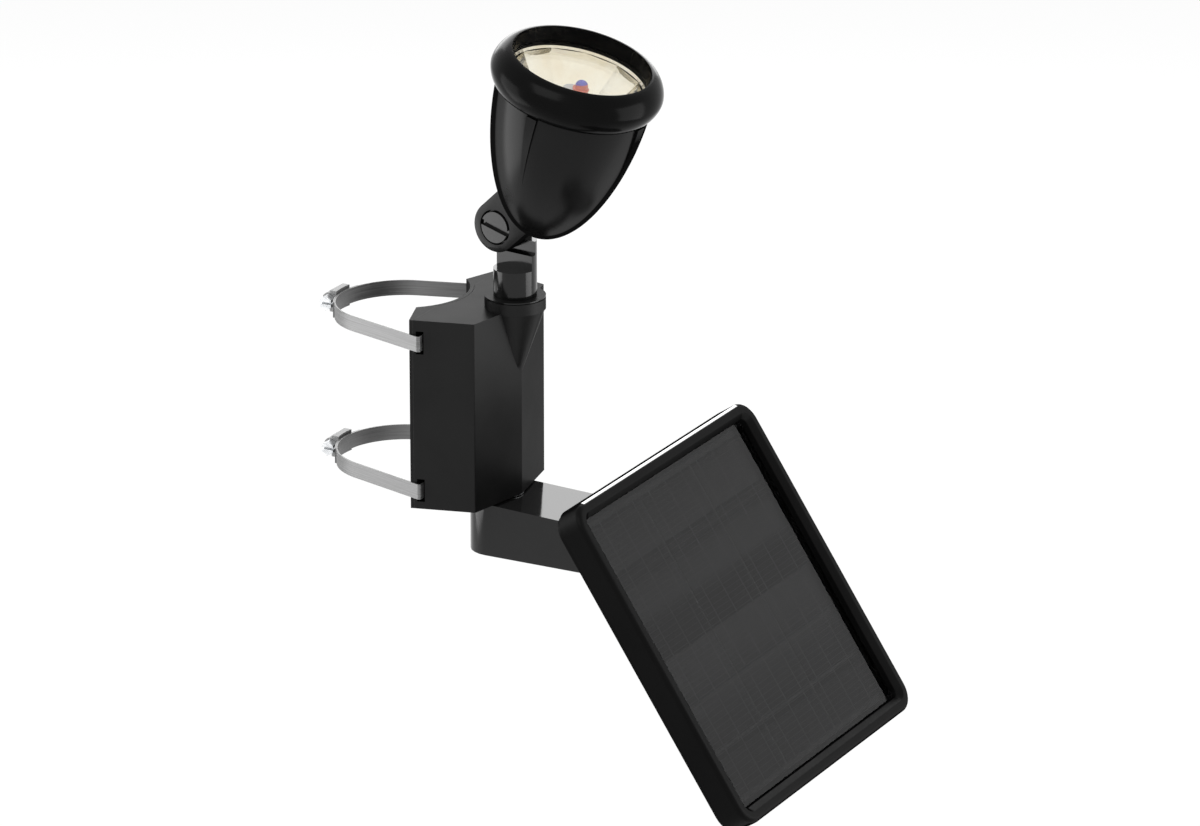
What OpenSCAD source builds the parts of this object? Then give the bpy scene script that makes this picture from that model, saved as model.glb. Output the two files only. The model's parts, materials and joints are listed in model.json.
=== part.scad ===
// Solar flagpole light: a battery housing strapped to a pole, an aimable lamp head
// above it and a solar panel on a swivelling arm below it.
// The origin is on the pole's axis at the middle of the housing's height.
// +Z points up the pole and -Y points from the pole to the housing.

/* [Pole clamp] */
// Diameter of the pole that the saddle and the bands fit
pole_d = 76.2; // [72:0.1:80]
// Thickness of the steel band
band_t = 0.8; // [0.6:0.1:1]
// Width of the steel band
band_w = 9; // [8:0.5:10]
// Centre of the upper band, down from the top of the housing
upper_band_drop = 13.1; // [12:0.1:15]
// Centre of the lower band, up from the bottom of the housing
lower_band_rise = 10.9; // [10:0.1:13]

/* [Housing] */
// Height of the housing
housing_h = 111.3; // [100:0.1:125]
// Distance from the pole's axis to the front edge
nose_u = 76.3; // [74:0.1:80]
// Distance from the pole's axis to the front corners
front_u = 68.5; // [64:0.1:70]
// Width across the front corners
front_w = 82; // [76:1:90]
// Distance of the rear corners behind the pole's front
rear_back = 5.5; // [4.5:0.1:6.5]
// Width across the rear corners
rear_w = 101.5; // [98:0.5:110]
// Wall thickness of the housing
wall = 2.5; // [2:0.1:3]
// Thickness of the back cover's flange
flange_t = 1.6; // [1.4:0.1:2]
// Thickness of the saddle wall against the pole
saddle_wall = 2.2; // [1.8:0.1:2.6]

/* [Lamp post] */
// Distance of the lamp post's axis behind the front edge
post_in = 4; // [3.2:0.1:5]
// Diameter of the lamp post
post_d = 24.6; // [23.5:0.1:26]
// Diameter of the collar round the lamp post
collar_d = 34.6; // [33:0.1:38]
// Height of the collar above the housing
collar_h = 6.6; // [5:0.1:9]
// Height of the half-round ledge above the housing
ledge_h = 22.4; // [20:0.1:25]
// Turn of the lamp post at rest, towards -X
swivel_rest = 8.2; // [0:0.1:15]

/* [Lamp head] */
// Height of the tilt axis above the housing
pivot_h = 46.1; // [44:0.1:48]
// Distance of the tilt axis behind the axis of the lamp post
pivot_back = 8.4; // [7:0.1:10]
// Tilt of the lamp head from upright at rest
head_tilt = 16.4; // [12:0.1:20]
// Distance of the lamp head's axis in front of the tilt axis
head_off = 23.4; // [22:0.1:26]
// Distance of the bezel's middle plane above the tilt axis
bezel_rise = 103.7; // [100:0.1:115]
// Distance that the bezel stands out past the bell
bezel_over = 5.1; // [4.2:0.1:7]
// Height of the bezel
bezel_h = 24.5; // [22:0.1:26]
// Width of the bezel's inner rim, from the opening to the bell's outside
rim_w = 4.25; // [3.5:0.05:5]
// Diameter of the bell where it meets the bezel
bell_d = 87.5; // [86:0.1:89]
// Height of the bell's foot above the tilt axis
bell_foot = 5.4; // [5:0.1:9]
// Wall thickness of the bell
bell_wall = 2.4; // [2:0.1:3]
// Thickness of the lens
lens_t = 2.5; // [2:0.1:3]

/* [Panel arm] */
// Width of the arm
arm_w = 48.4; // [44:0.1:50]
// Height of the arm at its pivot
arm_h = 30.8; // [28:0.1:34]
// Slope of the arm's top face
arm_slope = 2.4; // [0:0.1:4]
// Distance of the arm's pivot behind the front edge
arm_pivot_in = 11.3; // [10:0.1:14]
// Length of the arm behind its pivot
arm_tail = 15.5; // [13:0.1:18]
// Radius of the arm's rounded corners
arm_corner_r = 15.9; // [10:0.1:18]
// Distance from the pole's axis to the panel's hinge
hinge_u = 163; // [158:0.5:190]
// Depth of the panel's hinge below the housing
hinge_drop = 15.4; // [14:0.1:18]
// Diameter of the arm's knuckle
knuckle_d = 19; // [17:0.1:20]

/* [Solar panel] */
// Width of the window in the panel's frame
window_w = 193; // [150:1:220]
// Length of the window in the panel's frame
window_l = 181; // [150:0.5:210]
// Width of the frame's border round the window
border_w = 9.3; // [8:0.1:12]
// Depth of the panel from front to back
panel_t = 17.3; // [16:0.1:20]
// Depth of the glass below the frame's front face
glass_drop = 6.4; // [5:0.1:7]
// Thickness of the glass
glass_t = 3.2; // [3:0.1:4]
// Slope of the panel at rest
panel_tilt = 56.7; // [45:0.1:70]
// Distance of the hinge above the middle of the panel, along its slope
hinge_up = 54.9; // [45:0.1:60]
// Distance of the hinge behind the panel's back face
hinge_stand = 14.6; // [12:0.1:16]

/* [Hidden] */

// Overrun of a cut past the face that it opens
over = 0.5;
// Gap between moulded pieces of one body
fit_gap = 0.2;
// Radial gap of a turning shaft in its bore
turn_gap = 0.05;
// Gap between pieces that move past each other
move_gap = 0.3;
// Width of the cross cut in a screw's head
cross_w = 0.8;
// Steps in a full round stretch, in a small round piece and in an outline's corner
round_n = 96;
small_n = 32;
corner_n = 6;

// Places out from the pole's axis
rear_u = pole_d/2 - rear_back;
post_u = nose_u - post_in;
arm_pivot_u = nose_u - arm_pivot_in;
hinge_back = panel_t + hinge_stand;
// Heights of the housing's faces
top_z = housing_h/2;
floor_z = -housing_h/2;
// Slope of the side faces in plan: change of half width with distance from the pole
side_slope = (front_w - rear_w)/2/(front_u - rear_u);
function half_at(u) = rear_w/2 + side_slope*(u - rear_u);
// Plan places are given as distance out from the pole and sideways place
function plan(u, x = 0) = [x, -u];

// Outline helpers: an arc, one rounded corner, and a closed outline with rounded corners
function unit(v) = v/norm(v);
function arc(c, r, from, to, n) =
    [for (i = [0 : n]) c + r*[cos(from + (to - from)*i/n), sin(from + (to - from)*i/n)]];
function turn(a) = a > 180 ? a - 360 : a < -180 ? a + 360 : a;
function corner(p, q, s, r) = r == 0 ? [q] :
    let (a = unit(p - q), b = unit(s - q), half = acos(a*b)/2,
        c = q + unit(a + b)*r/sin(half), d = r/tan(half),
        from = atan2((q + a*d - c).y, (q + a*d - c).x),
        to = atan2((q + b*d - c).y, (q + b*d - c).x))
    arc(c, r, from, from + turn(to - from), corner_n);
function before(pts, i) = pts[(i + len(pts) - 1) % len(pts)];
function after(pts, i) = pts[(i + 1) % len(pts)];
function rounded(pts, radii) = [for (i = [0 : len(pts) - 1])
    each corner(before(pts, i), pts[i], after(pts, i), is_list(radii) ? radii[i] : radii)];
// A convex outline moved in by d on every side
function inset(pts, d) = [for (i = [0 : len(pts) - 1])
    let (a = unit(before(pts, i) - pts[i]), b = unit(after(pts, i) - pts[i]))
    pts[i] + unit(a + b)*d/sin(acos(a*b)/2)];
function box_outline(w, l) = [[-w/2, -l/2], [w/2, -l/2], [w/2, l/2], [-w/2, l/2]];

// Shell, seam and cover
edge_r = 1.2;
gasket_t = 0.4;
gasket_w = wall - fit_gap;
cover_front = rear_u + flange_t;
seam_u = cover_front + gasket_t;
saddle_r = pole_d/2;
saddle_angle = 50;
tip_u = saddle_r*cos(saddle_angle) + over;
tip_x = saddle_r*sin(saddle_angle);
function shell_plan(back) = [plan(nose_u), plan(front_u, front_w/2), plan(back, half_at(back)),
    plan(back, -half_at(back)), plan(front_u, -front_w/2)];

// Bands, each a loop round the pole that enters the housing through two slots
band_z = [top_z - upper_band_drop, floor_z + lower_band_rise];
slot_bar = 1.6;
slot_u = seam_u + slot_bar;
slot_l = 4.3;
slot_play = 4.3;
slot_h = band_w + slot_play;
bend_r = 1.2;
bend_u = slot_u + fit_gap + bend_r + band_t/2;
bend_out = 1.3;
bend_x = half_at(bend_u) + bend_out;
bend_d = norm([bend_u, bend_x]);
bend_a = atan2(bend_x, bend_u);
band_pole_r = saddle_r + band_t/2;
band_saddle_r = saddle_r + saddle_wall + fit_gap + band_t/2;
band_back_a = bend_a + acos((band_pole_r - bend_r)/bend_d);
band_front_a = bend_a - acos((band_saddle_r - bend_r)/bend_d);
band_step = 4;
function polar(r, a) = plan(r*cos(a), r*sin(a));
function sweep_a(from, to) = let (n = max(2, ceil(abs(to - from)/band_step)))
    [for (i = [0 : n]) from + (to - from)*i/n];
function band_loop(off) = concat(
    [for (a = sweep_a(-band_front_a, band_front_a)) polar(band_saddle_r + off, a)],
    [for (a = sweep_a(band_front_a, band_back_a)) plan(bend_u, bend_x) + polar(bend_r + off, a)],
    [for (a = sweep_a(band_back_a, 360 - band_back_a)) polar(band_pole_r + off, a)],
    [for (a = sweep_a(-band_back_a, -band_front_a)) plan(bend_u, -bend_x) + polar(bend_r + off, a)]);
// Room for the saddle's wall in the shell's floor and roof and in the gasket
module saddle_way() translate([0, 0, floor_z - over]) cylinder(h = housing_h + 2*over,
    r = saddle_r + saddle_wall + fit_gap, $fn = round_n);
// Shallow way that a band takes past the housing's rear corners
module band_way(z) translate([0, 0, z - band_w/2 - move_gap]) difference() {
    linear_extrude(band_w + 2*move_gap) polygon(band_loop(band_t/2 + fit_gap));
    translate([0, 0, -over]) linear_extrude(2*band_w) polygon(band_loop(-band_t/2 - fit_gap));
}
// The band's loose tail lies on the loop under the buckle
tail_from = 160;
tail_to = 212;
tail_slot_w = 1.2;
tail_slot_step = 3;
tail_slot_share = 0.6;
tail_r = saddle_r + 2*band_t;

// Tunnels that carry the bands through the housing
tunnel_wall = 1.8;
tunnel_front = band_saddle_r + band_t/2 + move_gap;
tunnel_gap = 0.3;

// Buckles and their worm screws
buckle_w = 15;
buckle_l = 12.6;
buckle_r = 5;
worm_r = 3.6;
worm_y = tail_r + worm_r + 2*fit_gap;
worm_l = 19;
worm_head_r = 4.4;
worm_head_l = 5;
driver_slot_w = 1.2;

// Cover screws
cover_screw_r = 1.5;
cover_screw_head_r = 3;
cover_screw_head_t = 2.2;
cover_screw_l = 16;
cover_screw_in = 3.4;
cover_screw_x = half_at(seam_u + cover_screw_l) - cover_screw_in;
cover_boss_r = 3.8;
cover_boss_l = 22;
cover_boss_gap = 4.3;
cover_screw_z = band_z[0] - slot_h/2 - tunnel_wall - cover_boss_r
    - cover_boss_gap;
cover_head_proud = 1.7;
cover_head_u = rear_u - cover_head_proud;

// Circuit board on four posts of the cover
board_w = 62;
board_h = 60;
board_z = -1.2;
board_t = 1.6;
board_gap = 0.5;
board_u = tunnel_front + tunnel_wall + board_gap;
board_post_r = 3;
board_inset = 4;
board_screw_r = 1.2;
board_screw_head_r = 2.2;
board_screw_head_t = 1.4;
board_screw_l = 8;
chip_t = 2.2;
chip_l = 9;
chip_w = 6;
chip_pitch = 14;

// Battery: three upright cells in a tray that stands on the board
cell_d = 14.5;
cell_l = 50.5;
cell_tip_r = 2.7;
cell_tip_l = 1;
cell_pitch = 15.6;
cell_count = 3;
contact_room = 3.2;
holder_wall = 1.4;
holder_w = cell_count*cell_pitch + 2*holder_wall;
holder_h = cell_l + cell_tip_l + 2*holder_wall + contact_room;
holder_d = 10;
cell_u = board_u + board_t + holder_wall + fit_gap + cell_d/2;
contact_t = 0.5;
contact_w = 9;

// Switch: a sealed push button under the housing, on the far side of the arm
switch_r = 5.6;
switch_h = 14;
switch_flange_r = 6.8;
switch_flange_t = 1.5;
switch_nut_r = 7.4;
switch_nut_t = 2.4;
switch_gap = 1.2;
switch_u = tunnel_front + tunnel_wall + switch_nut_r + switch_gap;
// Sideways place where the front face is still clear of the switch's nut
switch_front_x = nose_u > front_u ? front_w/2*
    (nose_u - switch_u - switch_nut_r - wall - switch_gap)/(nose_u - front_u) : front_w/2;
switch_x = min(half_at(switch_u) - wall - switch_nut_r - switch_gap, switch_front_x);
button_r = 3.9;
button_out = 3.2;
button_in = 4;
button_travel = 2;

// Collar and bushing round the lamp post
post_r = post_d/2;
stem_step = 1.7;
stem_r = post_r - stem_step;
bushing_t = 1.35;
bushing_r = stem_r + turn_gap + bushing_t;
bushing_depth = 5.4;
bushing_low = top_z - bushing_depth;
collar_r = collar_d/2;
collar_top = top_z + collar_h;
collar_lip = 1.2;
collar_groove = 0.8;
cone_low_r = nose_u - post_u;
cone_h = 37.8;
stem_end = 3.4;
stem_low = bushing_low - stem_end;
well_gap = 1;
well_r = stem_r + well_gap;
wire_r = 4;

// Parts of the lamp post
ledge_z = top_z + ledge_h;
lap_x = 2.8;
shoulder_h = 16.5;
blade_top = ledge_z + shoulder_h;
pivot_z = top_z + pivot_h;
blade_r = 11.6;
blade_in = 0.6;
blade_far = post_r - blade_in;
seal_r = 0.9;
seal_rise = 5;
seal_z = bushing_low + seal_rise;
clip_t = 1.2;
clip_out = 0.8;
clip_bite = 1.2;
clip_r = stem_r + clip_out;
clip_in = stem_r - clip_bite;
clip_gap = 0.3;

// Tilt screw, washer, nut and ear, all on the tilt axis
tilt_r = 3;
tilt_head_r = 9;
tilt_head_t = 3.6;
tilt_slot_w = 3.2;
tilt_slot_d = 2.2;
tilt_slot_turn = 14;
tilt_recess_r = 10.2;
tilt_recess_d = 3;
tilt_washer_r = 8.5;
tilt_washer_t = 0.7;
tilt_nut_r = 5.8;
tilt_nut_t = 4;
ear_t = 9.5;
ear_near = lap_x - tilt_washer_t - 2*turn_gap;
ear_r = 14.5;
ear_reach = 26;
ear_lean = 47;
// The neck below the ear is thicker than the blade behind the ear
neck_face = -0.7;
neck_room = 0.6;
step_z = pivot_z - ear_r - neck_room;

// Bell and bezel, measured along the head's axis from the bezel's middle plane
bell_r = bell_d/2;
bell_top = -7.8;
bell_low = bell_foot - bezel_rise;
bell_h = bell_top - bell_low;
bell_power = 1.752;
bell_root = 2.079;
bell_n = 26;
function bell_at(t) = let (s = min(1, max(0, (t - bell_low)/bell_h)))
    bell_r*pow(1 - pow(1 - s, bell_power), 1/bell_root);
function bell_points(inset) = [for (i = [0 : bell_n]) let (s = pow(i/bell_n, 2))
    [max(0, bell_r*pow(1 - pow(1 - s, bell_power), 1/bell_root) - inset),
     bell_low + bell_h*s + inset*(1 - s)]];
neck_step = 1.3;
neck_r = bell_r - neck_step;
neck_gap = 0.2;
opening_r = bell_r - rim_w;
bezel_r = bell_r + bezel_over;
bezel_lip = bezel_h/2;
bezel_power = 1.17;
bezel_n = 18;
lens_low = 0.5;
lens_top = lens_low + lens_t;
lens_r = neck_r - fit_gap;
lens_edge = 0.6;
lens_gasket_t = 1.5;
gasket_low = lens_low - lens_gasket_t;
reflector_flange = 1.2;
neck_top = gasket_low - reflector_flange;
rib_count = 4;
rib_first = 84;
rib_w = 6.6;
rib_tip_w = 0.8;
rib_rise = 1.1;
rib_l = 46;

// Reflector, light source and heat sink
dish_r = opening_r - 2*fit_gap;
dish_wall = 1.2;
dish_depth = 26;
dish_hole_r = 9;
dish_facets = 12;
slug_r = 7;
led_base = -7.4;
led_base_t = 1.2;
led_base_r = 4.6;
dome_r = 3.6;
dome_rise = 2.2;
led_board_t = 1.6;
led_board_r = 6.6;
sink_gap = 5;
sink_top = neck_top - dish_depth - sink_gap;
sink_t = 3;
sink_r = 24;
fin_step = 30;
sink_posts = 3;
sink_turn = 360/sink_posts;
fin_t = 1.4;
fin_h = 9;
sink_post_r = 3.4;
sink_post_at = 17;
sink_screw_r = 1.3;
sink_screw_head_r = 2.5;
sink_screw_head_t = 1.6;
sink_screw_l = 12;

// Arm and its pivot bolt under the housing
arm_gap = 0.6;
arm_top = floor_z - arm_gap;
arm_low = arm_top - arm_h;
arm_bolt_r = 4;
arm_bolt_head_r = 7.5;
arm_bolt_head_t = 5.5;
arm_bolt_head_drop = 7.5;
arm_recess_r = 8.5;
arm_washer_r = 11;
// Clear distance from the pivot to the inside of the front faces
pivot_room = arm_pivot_in*cos(atan((nose_u - front_u)*2/front_w)) - wall;
pivot_gap = 0.8;
arm_inner_washer_r = pivot_room - pivot_gap;
washer_rim = 0.3;
arm_nut_r = arm_inner_washer_r - washer_rim;
arm_nut_t = 6.5;
arm_inner_washer_t = 1.6;
nut_floor_z = floor_z + wall + arm_inner_washer_t;
arm_bolt_end = nut_floor_z + arm_nut_t + 2*arm_inner_washer_t;
hinge_z = floor_z - hinge_drop;
knuckle_w = 30;
neck_start = 30;
arm_edge_r = 2;
channel_in = 4.5;
channel_start = 20;
channel_end = 11;
channel_roof = 6;
arm_cover_t = 2;
arm_cover_screw_r = 1.4;
arm_cover_head_r = 2.6;
arm_cover_head_t = 1;
arm_cover_screw_l = 8;
arm_cover_tab = 8;
arm_cover_screw_y = 13;

// Hinge of the panel
hinge_r = 3;
lug_t = 8;
lug_r = 8.6;
hinge_washer_t = 0.6;
lug_in = knuckle_w/2 + hinge_washer_t + 2*turn_gap;
lug_out = lug_in + lug_t;
hinge_head_r = 5.2;
hinge_head_t = 3;
hinge_nut_r = 5.6;
hinge_nut_t = 4;
hinge_tip = 1.4;

// Panel: x across, y up the slope, z out of the front face
frame_w = window_w + 2*border_w;
frame_l = window_l + 2*border_w;
frame_r = 13;
bevel = 3;
bevel_n = 4;
slope_w = 3.2;
slope_d = 3;
ledge_w = 3;
ledge_t = 1.6;
pane_r = 3;
seat_t = 0.8;
cell_board_t = 1.6;
solar_t = 0.4;
solar_rows = 6;
solar_cols = 3;
solar_gap = 1.6;
solar_margin = 3;
frame_wall = 4;
back_t = 2.4;
back_inset = 1.5;
back_rib_w = 2.4;
panel_boss_r = 3.6;
panel_screw_r = 1.5;
panel_screw_head_r = 2.8;
panel_screw_head_t = 1.4;
panel_screw_l = 6;
panel_screw_in = frame_wall + panel_boss_r/2;
panel_row_in = 17.4;
lug_foot = 19;

// Colours
moulded = [0.15, 0.15, 0.15];
moulded_soft = [0.19, 0.19, 0.19];
rubber = [0.09, 0.09, 0.09];
steel = [0.52, 0.52, 0.52];
zinc = [0.62, 0.63, 0.64];
cream = [0.98, 0.95, 0.86];
silicon = [0.22, 0.22, 0.23];
board_green = [0.10, 0.32, 0.18];

// Frames of the moving groups
module post_place() translate([0, -post_u, 0]) rotate([0, 0, -swivel_rest]) children();
module pivot_place() post_place() translate([0, pivot_back, pivot_z]) children();
module head_place() pivot_place() rotate([head_tilt, 0, 0])
    translate([0, -head_off, bezel_rise]) children();
module hinge_place() translate([0, -hinge_u, hinge_z]) rotate([panel_tilt, 0, 0]) children();
module panel_place() hinge_place() translate([0, -hinge_up, hinge_back]) children();
// A child drawn along +Z is laid along +X, or along -Y (out from the pole)
module along_x() rotate([0, 90, 0]) children();
module along_out() rotate([90, 0, 0]) children();
module ring(r_out, r_in, h, n = round_n) difference() {
    cylinder(h = h, r = r_out, $fn = n);
    translate([0, 0, -over]) cylinder(h = h + 2*over, r = r_in, $fn = n);
}
// A screw with its head's top at z = 0 and its point at -l - head_t
module screw(r, l, head_r, head_t, n = small_n) difference() {
    union() {
        translate([0, 0, -head_t]) cylinder(h = head_t, r = head_r, $fn = n);
        translate([0, 0, -head_t - l]) cylinder(h = l + head_t/2, r = r, $fn = n);
    }
    for (a = [0, 90]) rotate([0, 0, a])
        translate([-head_r/2, -cross_w/2, -head_t/2]) cube([head_r, cross_w, head_t]);
}
module each_cover_screw() for (x = [-1, 1], z = [-1, 1])
    translate([x*cover_screw_x, 0, z*cover_screw_z]) children();

module shell_outside() {
    translate([0, 0, floor_z]) linear_extrude(housing_h)
        polygon(rounded(shell_plan(seam_u), [edge_r, edge_r, 0, 0, edge_r]));
    translate([0, -post_u, top_z - cone_h]) cylinder(h = cone_h, r1 = cone_low_r,
        r2 = collar_r, $fn = round_n);
}
module housing_shell() color(moulded) {
    inner_h = housing_h - 2*wall;
    difference() {
        union() {
            difference() {
                shell_outside();
                translate([0, 0, floor_z + wall]) linear_extrude(inner_h)
                    polygon(inset(shell_plan(seam_u - 2*wall), wall));
            }
            translate([0, -post_u, top_z - wall/2])
                cylinder(h = collar_h + wall/2, r = collar_r, $fn = round_n);
            intersection() {
                shell_outside();
                translate([0, -post_u, bushing_low - wall])
                    cylinder(h = top_z - bushing_low + wall/2, r = bushing_r + wall, $fn = round_n);
            }
            intersection() {
                shell_outside();
                each_cover_screw() translate([0, -seam_u, 0]) along_out()
                    cylinder(h = cover_boss_l, r = cover_boss_r, $fn = small_n);
            }
        }
        translate([0, -post_u, bushing_low])
            cylinder(h = housing_h, r = bushing_r, $fn = round_n);
        translate([0, -post_u, stem_low - clip_t])
            cylinder(h = housing_h/2, r = well_r, $fn = round_n);
        translate([0, -post_u, collar_top - collar_lip]) difference() {
            ring(collar_r + over, collar_r - collar_groove, collar_lip/2);
            translate([0, 0, -collar_lip]) cylinder(h = collar_lip, r = collar_r);
        }
        arm_place() translate([0, 0, floor_z - over])
            cylinder(h = wall + 2*over, r = arm_bolt_r, $fn = small_n);
        translate([switch_x, -switch_u, floor_z - over])
            cylinder(h = wall + 2*over, r = switch_r, $fn = small_n);
        for (z = band_z) {
            translate([-rear_w, -slot_u - slot_l, z - slot_h/2]) cube([2*rear_w, slot_l, slot_h]);
            band_way(z);
        }
        each_cover_screw() translate([0, -seam_u + over, 0]) along_out()
            cylinder(h = cover_screw_l + over, r = cover_screw_r, $fn = small_n);
        saddle_way();
    }
}

module back_cover() color(moulded_soft) difference() {
    union() {
        translate([0, 0, floor_z]) linear_extrude(housing_h)
            polygon([plan(cover_front, half_at(cover_front)), plan(rear_u, half_at(rear_u)),
                plan(tip_u, tip_x), plan(tip_u, -tip_x), plan(rear_u, -half_at(rear_u)),
                plan(cover_front, -half_at(cover_front))]);
        intersection() {
            translate([0, 0, floor_z]) cylinder(h = housing_h, r = saddle_r + saddle_wall,
                $fn = round_n);
            translate([-saddle_r, -nose_u, floor_z])
                cube([2*saddle_r, nose_u - rear_u, housing_h]);
        }
        for (z = band_z) tunnel(z);
        for (x = [-1, 1], z = [-1, 1])
            translate([x*(board_w/2 - board_inset), -cover_front + over,
                board_z + z*(board_h/2 - board_inset)])
                along_out() cylinder(h = board_u - cover_front + over, r = board_post_r,
                    $fn = small_n);
    }
    translate([0, 0, floor_z - over]) cylinder(h = housing_h + 2*over, r = saddle_r,
        $fn = round_n);
    for (z = band_z) {
        tunnel_space(z);
        band_way(z);
    }
    each_cover_screw() {
        translate([0, -cover_head_u, 0]) along_out()
            cylinder(h = nose_u, r = cover_screw_r + fit_gap, $fn = small_n);
        translate([0, -cover_head_u + saddle_r, 0]) along_out()
            cylinder(h = saddle_r + cover_screw_head_t, r = cover_screw_head_r + fit_gap,
                $fn = small_n);
    }
    for (x = [-1, 1], z = [-1, 1])
        translate([x*(board_w/2 - board_inset), -board_u - over,
            board_z + z*(board_h/2 - board_inset)])
            rotate([-90, 0, 0]) cylinder(h = board_screw_l, r = board_screw_r, $fn = small_n);
}
// One tunnel's block, cut by the same shape one wall smaller
module tunnel(z) translate([0, 0, max(floor_z + wall + tunnel_gap, z - slot_h/2 - tunnel_wall)])
    linear_extrude(min(top_z - wall - tunnel_gap, z + slot_h/2 + tunnel_wall)
        - max(floor_z + wall + tunnel_gap, z - slot_h/2 - tunnel_wall))
    intersection() {
        polygon([plan(cover_front - over, rear_w/2 - 2*wall), plan(cover_front - over, -rear_w/2 + 2*wall),
            plan(tunnel_front + tunnel_wall, -rear_w/2 + 2*wall),
            plan(tunnel_front + tunnel_wall, rear_w/2 - 2*wall)]);
        polygon(inset(shell_plan(cover_front - 2*wall), wall + tunnel_gap));
    }
module tunnel_space(z) {
    // The space in front of the cover's plate and the saddle's wall, open at both ends
    translate([0, 0, z - slot_h/2]) linear_extrude(slot_h) difference() {
        polygon([plan(cover_front, rear_w), plan(cover_front, -rear_w),
            plan(tunnel_front, -rear_w), plan(tunnel_front, rear_w)]);
        circle(r = saddle_r + saddle_wall + turn_gap, $fn = round_n);
    }
}

module housing_gasket() color(rubber) difference() {
    translate([0, -cover_front, 0]) along_out() linear_extrude(gasket_t) difference() {
        square([2*half_at(seam_u), housing_h], center = true);
        square([2*half_at(seam_u) - 2*gasket_w, housing_h - 2*gasket_w], center = true);
    }
    for (z = band_z) band_way(z);
    saddle_way();
}

module cover_screws() color(zinc) each_cover_screw()
    translate([0, -cover_head_u, 0]) rotate([-90, 0, 0])
        screw(cover_screw_r, cover_screw_l, cover_screw_head_r, cover_screw_head_t);

module band(z) translate([0, 0, z - band_w/2]) difference() {
    union() {
        linear_extrude(band_w) polygon(band_loop(band_t/2));
        tail();
    }
    translate([0, 0, -over]) linear_extrude(band_w + 2*over) polygon(band_loop(-band_t/2));
    translate([0, 0, -over]) cylinder(h = band_w + 2*over, r = saddle_r, $fn = round_n);
    for (a = [tail_from + tail_slot_step : tail_slot_step : tail_to - tail_slot_step])
        rotate([0, 0, -90 - a]) translate([tail_r - band_t*tail_slot_share, -tail_slot_w/2,
            band_w*(1 - tail_slot_share)/2])
            cube([band_t, tail_slot_w, band_w*tail_slot_share]);
}
module tail() linear_extrude(band_w)
    polygon(concat([for (a = sweep_a(tail_from, tail_to)) polar(tail_r, a)],
        [for (a = sweep_a(tail_to, tail_from)) polar(saddle_r + band_t/2, a)]));
module upper_band() color(steel) band(band_z[0]);
module lower_band() color(steel) band(band_z[1]);

module buckle(z) translate([0, 0, z]) difference() {
    union() {
        translate([-buckle_w/2, tail_r - 2*band_t, -buckle_l/2])
            cube([buckle_w, worm_y - tail_r + 2*band_t, buckle_l]);
        translate([-buckle_w/2, worm_y, 0]) along_x()
            cylinder(h = buckle_w, r = buckle_r, $fn = small_n);
    }
    translate([0, 0, -buckle_l]) cylinder(h = 2*buckle_l, r = tail_r, $fn = round_n);
    translate([-buckle_w, worm_y, 0]) along_x()
        cylinder(h = 2*buckle_w, r = worm_r + fit_gap/2, $fn = small_n);
}
module upper_buckle() color(steel) buckle(band_z[0]);
module lower_buckle() color(steel) buckle(band_z[1]);

module band_screws() color(zinc) for (z = band_z) translate([-buckle_w/2, worm_y, z]) {
    difference() {
        union() {
            along_x() cylinder(h = worm_l, r = worm_r, $fn = small_n);
            translate([-worm_head_l, 0, 0]) along_x()
                cylinder(h = worm_head_l, r = worm_head_r, $fn = 6);
        }
        translate([-worm_head_l - over, -worm_head_r, -driver_slot_w/2])
            cube([worm_head_l/2 + over, 2*worm_head_r, driver_slot_w]);
    }
}

module circuit_board() color(board_green) translate([0, -board_u, board_z]) {
    difference() {
        along_out() linear_extrude(board_t) square([board_w, board_h], center = true);
        for (x = [-1, 1], z = [-1, 1])
            translate([x*(board_w/2 - board_inset), over, z*(board_h/2 - board_inset)])
                along_out() cylinder(h = board_t + 2*over, r = board_screw_r, $fn = small_n);
    }
    for (i = [-1 : 1]) translate([i*chip_pitch - chip_l/2, 0, -chip_w/2 + i*chip_w])
        cube([chip_l, chip_t/2, chip_w]);
}

module board_screws() color(zinc)
    for (x = [-1, 1], z = [-1, 1])
        translate([x*(board_w/2 - board_inset), -board_u - board_t - board_screw_head_t,
            board_z + z*(board_h/2 - board_inset)])
            along_out() screw(board_screw_r, board_screw_l - over - board_t,
                board_screw_head_r, board_screw_head_t);

module battery_holder() color(moulded_soft) difference() {
    translate([-holder_w/2, -board_u - board_t - holder_d, board_z - holder_h/2])
        cube([holder_w, holder_d, holder_h]);
    for (i = [0 : cell_count - 1])
        translate([(i - (cell_count - 1)/2)*cell_pitch, -cell_u, board_z - holder_h/2 + holder_wall])
            cylinder(h = holder_h - 2*holder_wall, r = cell_d/2 + fit_gap, $fn = small_n);
    translate([-holder_w/2 + holder_wall, -board_u - board_t - holder_d - over,
        board_z - holder_h/2 + holder_wall])
        cube([holder_w - 2*holder_wall, holder_d/2, holder_h - 2*holder_wall]);
}

module battery_cells() color([0.75, 0.77, 0.76])
    for (i = [0 : cell_count - 1])
        translate([(i - (cell_count - 1)/2)*cell_pitch, -cell_u, board_z - (cell_l + cell_tip_l)/2]) {
            cylinder(h = cell_l, r = cell_d/2, $fn = small_n);
            translate([0, 0, cell_l]) cylinder(h = cell_tip_l, r = cell_tip_r, $fn = small_n);
        }

module battery_contacts() color(zinc)
    for (i = [0 : cell_count - 1], end = [-1, 1])
        translate([(i - (cell_count - 1)/2)*cell_pitch - contact_w/2, -cell_u - contact_w/4,
            board_z + end*(holder_h/2 - holder_wall) - (end > 0 ? contact_t : 0)])
            cube([contact_w, contact_w/2, contact_t]);

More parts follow.
